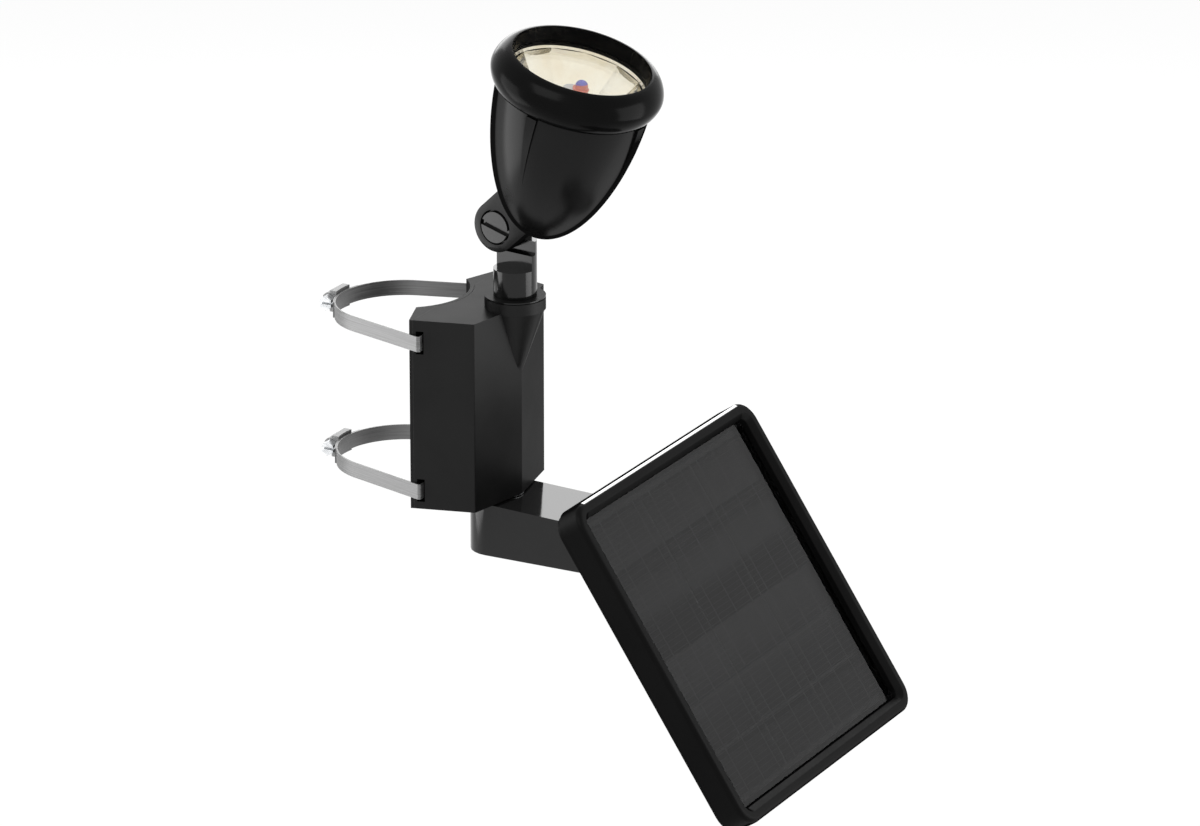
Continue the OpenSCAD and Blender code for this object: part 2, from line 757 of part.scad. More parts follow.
module switch_place() translate([switch_x, -switch_u, floor_z]) children();
module switch_body() color(rubber) switch_place() difference() {
    union() {
        translate([0, 0, -switch_flange_t]) cylinder(h = switch_flange_t, r = switch_flange_r,
            $fn = small_n);
        translate([0, 0, -switch_flange_t/2]) cylinder(h = switch_h, r = switch_r, $fn = small_n);
    }
    translate([0, 0, -switch_flange_t - over])
        cylinder(h = switch_flange_t + over + button_in + button_travel + move_gap,
            r = button_r + move_gap, $fn = small_n);
}
module switch_nut() color(zinc) switch_place() translate([0, 0, wall]) difference() {
    cylinder(h = switch_nut_t, r = switch_nut_r, $fn = 6);
    translate([0, 0, -over]) cylinder(h = switch_nut_t + 2*over, r = switch_r, $fn = small_n);
}
module switch_button() color(moulded_soft) switch_place()
    translate([0, 0, -switch_flange_t - button_out])
        cylinder(h = switch_flange_t + button_out + button_in, r = button_r, $fn = small_n);

module post_bushing() color([0.32, 0.32, 0.32]) translate([0, -post_u, bushing_low])
    ring(bushing_r, stem_r + turn_gap, collar_top - bushing_low);

module swivel_post() color(moulded) post_place() difference() {
    union() {
        translate([0, 0, stem_low]) cylinder(h = collar_top + move_gap - stem_low, r = stem_r,
            $fn = round_n);
        translate([0, 0, collar_top + move_gap/3])
            cylinder(h = ledge_z - collar_top - move_gap/3, r = post_r, $fn = round_n);
        intersection() {
            translate([0, 0, ledge_z - over]) cylinder(h = blade_top - ledge_z + over, r = post_r,
                $fn = round_n);
            translate([lap_x, -post_r, ledge_z - over])
                cube([blade_far - lap_x, 2*post_r, blade_top - ledge_z + over]);
        }
        intersection() {
            translate([0, 0, ledge_z - over]) cylinder(h = step_z - ledge_z + over, r = post_r,
                $fn = round_n);
            translate([neck_face, -post_r, ledge_z - over])
                cube([blade_far - neck_face, 2*post_r, step_z - ledge_z + over]);
        }
        translate([lap_x, pivot_back, pivot_z]) along_x()
            cylinder(h = blade_far - lap_x, r = blade_r, $fn = round_n);
        translate([lap_x, pivot_back - blade_r, ledge_z])
            cube([blade_far - lap_x, blade_r, pivot_z - ledge_z]);
        intersection() {
            translate([0, 0, ledge_z]) cylinder(h = pivot_z - ledge_z, r = post_r, $fn = round_n);
            translate([lap_x, 0, ledge_z]) cube([blade_far - lap_x, post_r, pivot_z - ledge_z]);
        }
    }
    translate([0, 0, stem_low - over]) cylinder(h = ledge_z - stem_low - wall, r = wire_r,
        $fn = small_n);
    translate([0, 0, bushing_low - clip_gap - clip_t - turn_gap])
        ring(post_r, clip_in, clip_t + 2*turn_gap);
    translate([0, 0, seal_z - seal_r - turn_gap]) ring(post_r, stem_r - 2*seal_r, 2*(seal_r + turn_gap));
    translate([0, pivot_back, pivot_z]) {
        along_x() cylinder(h = post_d, r = tilt_r, $fn = small_n);
        translate([blade_far - tilt_nut_t, 0, 0]) along_x()
            cylinder(h = tilt_nut_t + over, r = tilt_nut_r + fit_gap, $fn = 6);
    }
}
module post_seal() color(rubber) post_place() translate([0, 0, seal_z])
    rotate_extrude($fn = round_n) translate([stem_r - seal_r, 0]) circle(r = seal_r, $fn = small_n);
module post_clip() color(zinc) post_place()
    translate([0, 0, bushing_low - clip_gap - clip_t]) difference() {
        ring(clip_r, clip_in, clip_t);
        translate([-clip_r, -clip_t, -over]) cube([clip_r, 2*clip_t, clip_t + 2*over]);
    }

module tilt_screw() color([0.2, 0.2, 0.2]) pivot_place() difference() {
    union() {
        translate([ear_near - ear_t + tilt_recess_d - tilt_head_t, 0, 0]) along_x()
            cylinder(h = tilt_head_t, r = tilt_head_r, $fn = round_n);
        translate([ear_near - ear_t + tilt_recess_d - tilt_head_t/2, 0, 0]) along_x()
            cylinder(h = blade_far - ear_near + ear_t - tilt_recess_d + tilt_head_t/2, r = tilt_r,
                $fn = small_n);
    }
    rotate([tilt_slot_turn, 0, 0])
        translate([ear_near - ear_t + tilt_recess_d - tilt_head_t - over, -tilt_head_r - over,
            -tilt_slot_w/2])
            cube([tilt_slot_d + over, 2*tilt_head_r + 2*over, tilt_slot_w]);
}
module tilt_washer() color(zinc) pivot_place() translate([lap_x - tilt_washer_t, 0, 0]) along_x()
    ring(tilt_washer_r, tilt_r, tilt_washer_t);
module tilt_nut() color(zinc) pivot_place() translate([blade_far - tilt_nut_t, 0, 0]) along_x()
    difference() {
        cylinder(h = tilt_nut_t, r = tilt_nut_r, $fn = 6);
        translate([0, 0, -over]) cylinder(h = tilt_nut_t + 2*over, r = tilt_r, $fn = small_n);
    }

module bell_solid(inset) rotate_extrude($fn = round_n)
    polygon(concat([[0, bell_low + inset]], bell_points(inset), [[0, bell_top]]));
module head_shell() color(moulded) {
    head_place() difference() {
        union() {
            bell_solid(0);
            translate([0, 0, bell_top - over]) cylinder(h = neck_top - bell_top + over, r = neck_r,
                $fn = round_n);
            for (i = [0 : rib_count - 1]) rotate([0, 0, -90 - rib_first + i*360/rib_count]) rib();
            ear();
        }
        bell_solid(bell_wall);
        translate([0, 0, bell_top - over]) cylinder(h = neck_top - bell_top + 2*over,
            r = neck_r - bell_wall, $fn = round_n);
        translate([0, head_off, -bezel_rise]) {
            translate([-post_d, 0, 0]) along_x() cylinder(h = 2*post_d, r = tilt_r + turn_gap,
                $fn = small_n);
            translate([ear_near - ear_t - over, 0, 0]) along_x()
                cylinder(h = tilt_recess_d + over, r = tilt_recess_r, $fn = small_n);
        }
    }
    head_place() for (i = [0 : sink_posts - 1]) rotate([0, 0, i*sink_turn]) intersection() {
        translate([0, sink_post_at, bell_low]) difference() {
            cylinder(h = sink_top - sink_t - fin_h - bell_low, r = sink_post_r, $fn = small_n);
            translate([0, 0, sink_top - sink_t - fin_h - bell_low - sink_screw_l])
                cylinder(h = sink_screw_l + over, r = sink_screw_r, $fn = small_n);
        }
        bell_solid(bell_wall/2);
    }
}
// A tapering rib that stands on the bell below the bezel
module rib() intersection() {
    rotate([90, 0, 90]) translate([0, 0, bell_r/2]) linear_extrude(bell_r)
        polygon([[-rib_w/2, rib_top], [rib_w/2, rib_top], [rib_tip_w/2, rib_top - rib_l],
            [-rib_tip_w/2, rib_top - rib_l]]);
    rotate_extrude($fn = round_n) polygon(concat([[0, bell_low]],
        [for (i = [0 : bell_n]) let (s = pow(i/bell_n, 2), t = bell_low + bell_h*s)
            [bell_at(t) + rib_rise*min(1, max(0, 1 - (rib_top - t)/rib_l)), t]], [[0, bell_top]]));
}
// The ear that carries the bell on the tilt axis
module ear() translate([0, head_off, -bezel_rise]) rotate([ear_lean - head_tilt, 0, 0])
    translate([ear_near - ear_t, 0, 0]) difference() {
        union() {
            along_x() cylinder(h = ear_t, r = ear_r, $fn = round_n);
            translate([0, -ear_r, 0]) cube([ear_t, 2*ear_r, ear_reach]);
        }
    }

// The bezel's section: a rounded outside, an inner lip over the lens and a bore for the neck
bezel_core_r = opening_r;
bezel_wide = bezel_r - bezel_core_r;
foot_land = 0.15;
bezel_foot = acos(pow((bell_r + neck_gap + foot_land - bezel_core_r)/bezel_wide, 1/bezel_power));
function bezel_point(a) = [bezel_core_r + bezel_wide*pow(cos(a), bezel_power),
    (a < 0 ? -1 : 1)*bezel_lip*pow(abs(sin(a)), bezel_power)];
rib_top = bezel_point(-bezel_foot).y - fit_gap;
module bezel_ring() color(moulded) head_place() rotate_extrude($fn = round_n)
    polygon(concat([for (i = [0 : bezel_n]) bezel_point(90 - (90 + bezel_foot)*i/bezel_n)],
        [[bell_r + neck_gap, bezel_point(-bezel_foot).y], [bell_r + neck_gap, bell_top + neck_gap],
         [neck_r + neck_gap, bell_top + neck_gap], [neck_r + neck_gap, lens_top],
         [opening_r - lens_edge, lens_top], [opening_r - lens_edge, lens_top + lens_edge]]));
module lens() color([0.9, 0.95, 1, 0.35]) head_place() translate([0, 0, lens_low])
    cylinder(h = lens_t, r = lens_r, $fn = round_n);
module lens_gasket() color(rubber) head_place() translate([0, 0, gasket_low])
    ring(lens_r, opening_r + lens_edge, lens_low - gasket_low);

dish_power = 0.62;
function dish_point(s) = [dish_hole_r + (dish_r - dish_hole_r)*pow(s, dish_power),
    gasket_low - dish_depth*(1 - s)];
dish_n = 8;
module reflector() color(cream) head_place() {
    rotate_extrude($fn = round_n) polygon(concat(
        [for (i = [0 : dish_n]) dish_point(i/dish_n)],
        [[lens_r, gasket_low], [lens_r, neck_top], [dish_r - dish_wall, neck_top]],
        [for (i = [dish_n - 1 : -1 : 0]) dish_point(i/dish_n) + [dish_wall*(1 - i/dish_n), -dish_wall]]));
}
module heat_sink() color(zinc) head_place() difference() {
    union() {
        translate([0, 0, sink_top - sink_t]) cylinder(h = sink_t, r = sink_r, $fn = round_n);
        translate([0, 0, sink_top - sink_t/2]) cylinder(h = led_base - led_board_t - sink_top + sink_t/2,
            r = slug_r, $fn = small_n);
        for (i = [0 : sink_posts - 1], b = [-1 : 1]) rotate([0, 0, (i + 1/2)*sink_turn + b*fin_step])
            translate([-fin_t/2, slug_r, sink_top - sink_t - fin_h])
                cube([fin_t, sink_r - slug_r - fin_t, fin_h + sink_t/2]);
        for (i = [0 : sink_posts - 1]) rotate([0, 0, i*sink_turn])
            translate([0, sink_post_at, sink_top - sink_t - fin_h])
                cylinder(h = fin_h + sink_t/2, r = sink_post_r, $fn = small_n);
    }
    for (i = [0 : sink_posts - 1]) rotate([0, 0, i*sink_turn])
        translate([0, sink_post_at, sink_top - sink_t - fin_h - over])
            cylinder(h = fin_h + sink_t + 2*over, r = sink_screw_r, $fn = small_n);
}
module led_board() color([0.92, 0.92, 0.9]) head_place() translate([0, 0, led_base - led_board_t])
    cylinder(h = led_board_t, r = led_board_r, $fn = small_n);
module led_emitter() color([0.93, 0.5, 0.35]) head_place() translate([0, 0, led_base]) {
    cylinder(h = led_base_t, r = led_base_r, $fn = small_n);
    intersection() {
        translate([0, 0, dome_rise]) sphere(r = dome_r, $fn = small_n);
        cylinder(h = dome_rise + dome_r, r = dome_r, $fn = small_n);
    }
}
module led_screws() color(zinc) head_place() for (i = [0 : sink_posts - 1]) rotate([0, 0, i*sink_turn])
    translate([0, sink_post_at, sink_top + sink_screw_head_t])
        screw(sink_screw_r, sink_t + fin_h + sink_screw_l - over, sink_screw_head_r, sink_screw_head_t);

module arm_bolt() color(zinc) arm_place() {
    translate([0, 0, arm_low + arm_bolt_head_drop - arm_bolt_head_t])
        cylinder(h = arm_bolt_head_t, r = arm_bolt_head_r, $fn = 6);
    translate([0, 0, arm_low + arm_bolt_head_drop - over])
        cylinder(h = arm_bolt_end - arm_low - arm_bolt_head_drop + over, r = arm_bolt_r,
            $fn = small_n);
}
module arm_nut() color(zinc) arm_place() translate([0, 0, nut_floor_z]) difference() {
    cylinder(h = arm_nut_t, r = arm_nut_r, $fn = 6);
    translate([0, 0, -over]) cylinder(h = arm_nut_t + 2*over, r = arm_bolt_r, $fn = small_n);
}
module arm_washers() color(zinc) arm_place() {
    translate([0, 0, arm_top + turn_gap]) ring(arm_washer_r, arm_bolt_r, arm_gap - turn_gap);
    translate([0, 0, floor_z + wall]) ring(arm_inner_washer_r, arm_bolt_r, arm_inner_washer_t);
}

// Side outline of the arm, as distance from its pivot and height
arm_reach = hinge_u - arm_pivot_u;
knuckle_start = arm_reach - knuckle_d/2;
arm_neck = arm_reach - neck_start;
slope_drop = arm_neck*tan(arm_slope);
knuckle_land = 0.125;
channel_w = arm_w - 2*channel_in;
channel_l = arm_neck - channel_end - channel_start;
module arm_side() polygon([[-arm_tail, arm_top], [0, arm_top], [arm_neck, arm_top - slope_drop],
    [arm_reach + over, hinge_z + knuckle_d/2 - knuckle_land],
    [arm_reach + over, hinge_z - knuckle_d/2 + knuckle_land],
    [arm_neck, arm_low], [-arm_tail, arm_low]]);
module arm_plan() {
    polygon(concat(
        corner([-arm_tail, 0], [-arm_tail, -arm_w/2], [0, -arm_w/2], arm_corner_r),
        corner([arm_neck/2, -arm_w/2], [arm_neck, -arm_w/2], [knuckle_start, -knuckle_w/2],
            2*arm_edge_r),
        [[knuckle_start, -knuckle_w/2]],
        [[arm_reach + knuckle_d, -knuckle_w/2], [arm_reach + knuckle_d, knuckle_w/2]],
        [[knuckle_start, knuckle_w/2]],
        corner([knuckle_start, knuckle_w/2], [arm_neck, arm_w/2], [arm_neck/2, arm_w/2],
            2*arm_edge_r),
        corner([0, arm_w/2], [-arm_tail, arm_w/2], [-arm_tail, 0], arm_corner_r)));
}
module arm_place() translate([0, -arm_pivot_u, 0]) children();
// The arm's own x runs out from its pivot
module arm_axes() arm_place() rotate([0, 0, -90]) children();
// A block over the channel, grown by the given amounts at its ends and sides
module channel(ends, sides, h) translate([channel_start - ends, -channel_w/2 - sides, 0])
    cube([channel_l + 2*ends, channel_w + 2*sides, h]);
module each_arm_cover_screw() for (x = [channel_start - arm_cover_tab/2,
    channel_start + channel_l + arm_cover_tab/2], y = [-1, 1])
    translate([x, y*arm_cover_screw_y, arm_low]) children();
module panel_arm() color(moulded) difference() {
    arm_axes() difference() {
        union() {
            intersection() {
                translate([0, arm_w, 0]) rotate([90, 0, 0]) linear_extrude(2*arm_w) arm_side();
                translate([0, 0, arm_low - over]) linear_extrude(arm_h + 2*over) arm_plan();
            }
            translate([arm_reach, knuckle_w/2, hinge_z]) along_out()
                cylinder(h = knuckle_w, r = knuckle_d/2, $fn = round_n);
        }
        translate([0, 0, arm_low - over]) {
            channel(0, 0, arm_h - channel_roof - slope_drop);
            channel(arm_cover_tab, arm_edge_r, arm_cover_t + over);
        }
        each_arm_cover_screw() cylinder(h = arm_cover_screw_l + arm_cover_t,
            r = arm_cover_screw_r, $fn = small_n);
    }
    arm_place() {
        translate([0, 0, arm_low - over]) cylinder(h = arm_h + 2*over, r = arm_bolt_r + turn_gap,
            $fn = small_n);
        translate([0, 0, arm_low - over]) cylinder(h = arm_bolt_head_drop + over, r = arm_recess_r,
            $fn = small_n);
    }
    translate([-arm_w, -hinge_u, hinge_z]) along_x()
        cylinder(h = 2*arm_w, r = hinge_r + turn_gap, $fn = small_n);
}
module arm_cover() color(moulded_soft) arm_axes() difference() {
    translate([0, 0, arm_low]) {
        channel(arm_cover_tab - fit_gap, arm_edge_r - fit_gap, arm_cover_t);
        difference() {
            channel(-fit_gap, -fit_gap, 2*arm_cover_t);
            translate([0, 0, arm_cover_t]) channel(-arm_cover_t, -arm_cover_t, 2*arm_cover_t);
        }
    }
    each_arm_cover_screw() translate([0, 0, -over]) cylinder(h = arm_cover_t + 2*over,
        r = arm_cover_screw_r, $fn = small_n);
}
module arm_cover_screws() color(zinc) arm_axes() each_arm_cover_screw()
    translate([0, 0, -arm_cover_head_t]) rotate([180, 0, 0])
        screw(arm_cover_screw_r, arm_cover_screw_l, arm_cover_head_r, arm_cover_head_t);

// A flat plate with rounded corners whose front face is at z = 0
module plate(w, l, r, t) translate([0, 0, -t]) linear_extrude(t)
    polygon(rounded(box_outline(w, l), r));
// The frame's sloped inner edge, from the front face down to the window
module window_slope() hull() {
    translate([0, 0, over])
        plate(window_w + 2*slope_w, window_l + 2*slope_w, pane_r + slope_w, over);
    translate([0, 0, -slope_d]) plate(window_w, window_l, pane_r, over);
}
module panel_frame() color(moulded) panel_place() difference() {
    union() {
        translate([0, 0, -bevel]) plate(frame_w, frame_l, frame_r, panel_t - back_t - bevel);
        for (i = [0 : bevel_n - 1]) let (a = 90*i/bevel_n, b = 90*(i + 1)/bevel_n)
            translate([0, 0, -bevel + bevel*sin(b)])
                plate(frame_w - 2*bevel*(1 - cos((a + b)/2)), frame_l - 2*bevel*(1 - cos((a + b)/2)),
                    frame_r - bevel*(1 - cos((a + b)/2)), bevel*sin(b) + over);
    }
    translate([0, 0, over]) plate(window_w, window_l, pane_r, glass_low + seat_t + over);
    window_slope();
    plate(window_w - 2*ledge_w, window_l - 2*ledge_w, pane_r, panel_t);
    difference() {
        translate([0, 0, -glass_low - seat_t - ledge_t])
            plate(frame_w - 2*frame_wall, frame_l - 2*frame_wall, frame_r - frame_wall, panel_t);
        each_panel_screw() cylinder(h = 2*panel_t, r = panel_boss_r, $fn = small_n, center = true);
    }
    each_panel_screw() translate([0, 0, -panel_t]) cylinder(h = back_t + panel_screw_l,
        r = panel_screw_r, $fn = small_n);
}
module each_panel_screw() {
    for (x = [-1, 1], y = [-1, 0, 1])
        translate([x*(frame_w/2 - panel_screw_in), y*(frame_l/2 - panel_row_in), 0]) children();
    for (y = [-1, 1]) translate([0, y*(frame_l/2 - panel_screw_in), 0]) children();
}
glass_low = glass_drop + glass_t;
board_front = glass_low + solar_t;
module panel_glass() color([0.2, 0.22, 0.25, 0.4]) panel_place() translate([0, 0, -glass_drop])
    plate(window_w - 2*fit_gap, window_l - 2*fit_gap, pane_r, glass_t);
module solar_cells() color(silicon) panel_place() {
    field_w = window_w - 2*ledge_w - 2*solar_margin;
    field_l = window_l - 2*ledge_w - 2*solar_margin;
    cell_w = (field_w - (solar_cols - 1)*solar_gap)/solar_cols;
    cell_h = (field_l - (solar_rows - 1)*solar_gap)/solar_rows;
    for (i = [0 : solar_cols - 1], j = [0 : solar_rows - 1])
        translate([-field_w/2 + i*(cell_w + solar_gap), -field_l/2 + j*(cell_h + solar_gap),
            -board_front]) cube([cell_w, cell_h, solar_t]);
}
module cell_board() color(board_green) panel_place() translate([0, 0, -board_front])
    plate(window_w - 2*ledge_w - 2*fit_gap, window_l - 2*ledge_w - 2*fit_gap, pane_r,
        cell_board_t);
module panel_gasket() color(rubber) panel_place() translate([0, 0, -glass_low]) difference() {
    plate(window_w - 2*fit_gap, window_l - 2*fit_gap, pane_r, seat_t);
    translate([0, 0, over]) plate(window_w - 2*ledge_w, window_l - 2*ledge_w, pane_r,
        seat_t + 2*over);
}
module panel_back() color(moulded_soft) {
    rib_h = panel_t - back_t/2 - board_front - cell_board_t;
    panel_place() difference() {
        union() {
            translate([0, 0, -panel_t + back_t]) plate(frame_w - 2*back_inset,
                frame_l - 2*back_inset, frame_r - back_inset, back_t);
            for (x = [-1, 1]) translate([x*window_w/4 - back_rib_w/2, -window_l/2 + panel_t,
                -panel_t + back_t/2]) cube([back_rib_w, window_l - 2*panel_t, rib_h]);
            for (y = [-1, 1]) translate([-window_w/2 + panel_t, y*window_l/4 - back_rib_w/2,
                -panel_t + back_t/2]) cube([window_w - 2*panel_t, back_rib_w, rib_h]);
        }
        each_panel_screw() translate([0, 0, -panel_t - over]) {
            cylinder(h = back_t + 2*over, r = panel_screw_r + fit_gap, $fn = small_n);
            cylinder(h = panel_screw_head_t + over, r = panel_screw_head_r + fit_gap,
                $fn = small_n);
        }
    }
    hinge_place() for (s = [-1, 1]) difference() {
        union() {
            translate([s > 0 ? lug_in : -lug_out, 0, 0]) along_x()
                cylinder(h = lug_t, r = lug_r, $fn = round_n);
            translate([s > 0 ? lug_in : -lug_out, -lug_r, 0])
                cube([lug_t, 2*lug_r, hinge_back - panel_t + back_t/2]);
            translate([s > 0 ? lug_in : -lug_out, -lug_foot, hinge_back - panel_t - back_t/2])
                cube([lug_t, 2*lug_foot, back_t]);
        }
        translate([-lug_out - over, 0, 0]) along_x() cylinder(h = 2*lug_out + 2*over, r = hinge_r,
            $fn = small_n);
    }
}
module panel_screws() color(zinc) panel_place() each_panel_screw()
    translate([0, 0, -panel_t]) rotate([180, 0, 0])
        screw(panel_screw_r, panel_screw_l, panel_screw_head_r, panel_screw_head_t);

module hinge_bolt() color(zinc) hinge_place() {
    translate([-lug_out - hinge_head_t, 0, 0]) along_x()
        cylinder(h = hinge_head_t, r = hinge_head_r, $fn = small_n);
    translate([-lug_out - hinge_head_t/2, 0, 0]) along_x()
        cylinder(h = 2*lug_out + hinge_head_t/2 + hinge_nut_t + hinge_tip, r = hinge_r,
            $fn = small_n);
}
module hinge_nut() color(zinc) hinge_place() translate([lug_out, 0, 0]) along_x() difference() {
    cylinder(h = hinge_nut_t, r = hinge_nut_r, $fn = 6);
    translate([0, 0, -over]) cylinder(h = hinge_nut_t + 2*over, r = hinge_r, $fn = small_n);
}
module hinge_washers() color(zinc) hinge_place() for (s = [-1, 1])
    translate([s > 0 ? lug_in - hinge_washer_t : -lug_in, 0, 0]) along_x()
        ring(knuckle_d/2 - over, hinge_r, hinge_washer_t, small_n);

housing_shell();
back_cover();
housing_gasket();
cover_screws();
upper_band();
lower_band();
upper_buckle();
lower_buckle();
band_screws();
circuit_board();
board_screws();
battery_holder();
battery_cells();
battery_contacts();
switch_body();
switch_nut();
switch_button();
post_bushing();
arm_bolt();
arm_nut();
arm_washers();
swivel_post();
post_seal();
post_clip();
tilt_screw();
tilt_washer();
tilt_nut();
head_shell();
bezel_ring();
lens();
lens_gasket();
reflector();
heat_sink();
led_board();
led_emitter();
led_screws();
panel_arm();
arm_cover();
arm_cover_screws();
panel_frame();
panel_glass();
solar_cells();
cell_board();
panel_gasket();
panel_back();
panel_screws();
hinge_bolt();
hinge_nut();
hinge_washers();
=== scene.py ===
# %% [markdown]
# # A solar light for a flagpole
#
# The object is a black moulded housing strapped to a round pole, with a lamp head that tilts
# and turns above it and a solar panel on a swivelling arm below it. This lesson dresses the
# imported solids: it loads them as a fixed frame, gives each one its finish, and puts finer
# pieces where the real object has soft edges, ribs or small facets.

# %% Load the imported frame
import json
import math
import bmesh
import bpy
from mathutils import Matrix, Vector


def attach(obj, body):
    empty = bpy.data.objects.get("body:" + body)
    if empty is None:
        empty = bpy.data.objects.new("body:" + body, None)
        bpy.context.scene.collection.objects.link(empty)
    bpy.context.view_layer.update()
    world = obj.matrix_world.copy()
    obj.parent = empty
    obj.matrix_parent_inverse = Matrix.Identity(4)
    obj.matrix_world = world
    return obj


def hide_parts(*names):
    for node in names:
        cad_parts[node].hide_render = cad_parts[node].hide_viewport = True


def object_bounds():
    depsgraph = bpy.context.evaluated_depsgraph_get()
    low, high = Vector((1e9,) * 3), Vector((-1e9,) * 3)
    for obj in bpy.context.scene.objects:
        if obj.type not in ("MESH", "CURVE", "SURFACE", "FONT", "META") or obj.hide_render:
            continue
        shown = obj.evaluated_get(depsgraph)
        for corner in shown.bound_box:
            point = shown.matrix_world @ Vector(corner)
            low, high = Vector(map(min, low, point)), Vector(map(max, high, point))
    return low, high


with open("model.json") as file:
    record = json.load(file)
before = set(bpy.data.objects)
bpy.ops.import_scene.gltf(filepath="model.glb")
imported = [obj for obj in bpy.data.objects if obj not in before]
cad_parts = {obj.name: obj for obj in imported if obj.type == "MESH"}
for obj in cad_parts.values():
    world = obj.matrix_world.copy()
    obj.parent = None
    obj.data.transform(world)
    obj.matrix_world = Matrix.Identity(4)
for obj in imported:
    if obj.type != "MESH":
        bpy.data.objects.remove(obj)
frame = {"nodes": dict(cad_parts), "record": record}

cad_low, cad_high = [list(corner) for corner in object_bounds()]
nodes = frame["nodes"]

# %% [markdown]
# ## The camera
#
# A photograph of a long object from far away shows hardly any perspective. A long lens placed
# almost four metres away gives that look, and the picture's middle needs no shift.

# %% Place the camera
MM = 0.001
camera_at = Vector((-3177.1, -1807.3, 1249.7)) * MM
looks_back = Vector((-0.83489, -0.44181, 0.32828))
camera_data = bpy.data.cameras.new("long_lens")
camera_data.sensor_fit = "HORIZONTAL"
camera_data.sensor_width = 36.0
camera_data.lens = 204.05
camera_data.clip_start, camera_data.clip_end = 0.1, 50.0
camera = bpy.data.objects.new("long_lens", camera_data)
camera.location = camera_at
camera.rotation_mode = "QUATERNION"
camera.rotation_quaternion = (-looks_back).to_track_quat("-Z", "Y")
bpy.context.scene.collection.objects.link(camera)
bpy.context.scene.camera = camera
bpy.context.scene.view_settings.view_transform = "Standard"
print("camera distance:", round(camera_at.length, 3), "m")

# %% [markdown]
# ## Floor, sky and lamps
#
# Black plastic shows mostly what it reflects, so the surroundings matter more than the lamps.
# The floor and the world are white where the camera, metal and glass see them, and the floor
# keeps a tenth of its own shading, which is the object's shadow. Two tall soft boxes stand at
# the sides and draw the upright streaks on the round pieces. One behind whitens the top edges.

# %% Mask of the rays that see the background
def seen_mask(tree):
    rays = tree.nodes.new("ShaderNodeLightPath")
    seen = rays.outputs["Is Camera Ray"]
    for label in ("Is Glossy Ray", "Is Transmission Ray"):
        most = tree.nodes.new("ShaderNodeMath")
        most.operation = "MAXIMUM"
        tree.links.new(seen, most.inputs[0])
        tree.links.new(rays.outputs[label], most.inputs[1])
        seen = most.outputs[0]
    return seen


# %% Make the floor
floor_drop, floor_size, white_share = 0.12, 30.0, 0.9


def flat_sheet(name, size, height):
    mesh = bpy.data.meshes.new(name)
    half = size / 2
    mesh.from_pydata([(-half, -half, height), (half, -half, height), (half, half, height),
                      (-half, half, height)], [], [(0, 1, 2, 3)])
    sheet = bpy.data.objects.new(name, mesh)
    bpy.context.scene.collection.objects.link(sheet)
    return sheet


floor_z = cad_low[2] - floor_drop
floor = flat_sheet("pale_floor", floor_size, floor_z)
floor_finish = bpy.data.materials.new("pale_floor")
floor_finish.use_nodes = True
paper, paper_links = floor_finish.node_tree.nodes, floor_finish.node_tree.links
paper["Principled BSDF"].inputs["Base Color"].default_value = (0.93, 0.93, 0.93, 1)
paper["Principled BSDF"].inputs["Roughness"].default_value = 0.9
paper["Principled BSDF"].inputs["Specular IOR Level"].default_value = 0.0
white = paper.new("ShaderNodeEmission")
white.inputs["Strength"].default_value = 1.0
share = paper.new("ShaderNodeMath")
share.operation = "MULTIPLY"
share.inputs[1].default_value = white_share
paper_links.new(seen_mask(floor_finish.node_tree), share.inputs[0])
blend_paper = paper.new("ShaderNodeMixShader")
paper_links.new(share.outputs[0], blend_paper.inputs["Fac"])
paper_links.new(paper["Principled BSDF"].outputs[0], blend_paper.inputs[1])
paper_links.new(white.outputs[0], blend_paper.inputs[2])
paper_links.new(blend_paper.outputs[0], paper["Material Output"].inputs["Surface"])
floor.data.materials.append(floor_finish)
print("floor at", round(floor_z, 3))

# %% Make the sky
room_strength = 0.85
room_stops = ((0.45, 0.34), (0.56, 0.40), (0.70, 0.80))
world = bpy.data.worlds.new("studio")
bpy.context.scene.world = world
world.use_nodes = True
sky, sky_links = world.node_tree.nodes, world.node_tree.links
sky_out = sky["World Output"]
pale = sky["Background"]
pale.inputs["Color"].default_value = (1, 1, 1, 1)
pale.inputs["Strength"].default_value = 1.0
around = sky.new("ShaderNodeTexCoord")
split = sky.new("ShaderNodeSeparateXYZ")
sky_links.new(around.outputs["Generated"], split.inputs[0])
bands = sky.new("ShaderNodeValToRGB")
bands.color_ramp.elements[0].position = 0.0
bands.color_ramp.elements[0].color = (0.55, 0.55, 0.55, 1)
bands.color_ramp.elements[1].position = 1.0
bands.color_ramp.elements[1].color = (1.0, 1.0, 1.0, 1)
lift = sky.new("ShaderNodeMapRange")
lift.inputs["From Min"].default_value = -1.0
lift.inputs["From Max"].default_value = 1.0
sky_links.new(split.outputs["Z"], lift.inputs["Value"])
sky_links.new(lift.outputs["Result"], bands.inputs["Fac"])
for at_height, shade in room_stops:
    stop = bands.color_ramp.elements.new(at_height)
    stop.color = (shade, shade, shade, 1)
room = sky.new("ShaderNodeBackground")
room.inputs["Strength"].default_value = room_strength
sky_links.new(bands.outputs["Color"], room.inputs["Color"])
blend_sky = sky.new("ShaderNodeMixShader")
sky_links.new(seen_mask(world.node_tree), blend_sky.inputs["Fac"])
sky_links.new(room.outputs[0], blend_sky.inputs[1])
sky_links.new(pale.outputs[0], blend_sky.inputs[2])
sky_links.new(blend_sky.outputs[0], sky_out.inputs["Surface"])
print("sky stops:", len(bands.color_ramp.elements))


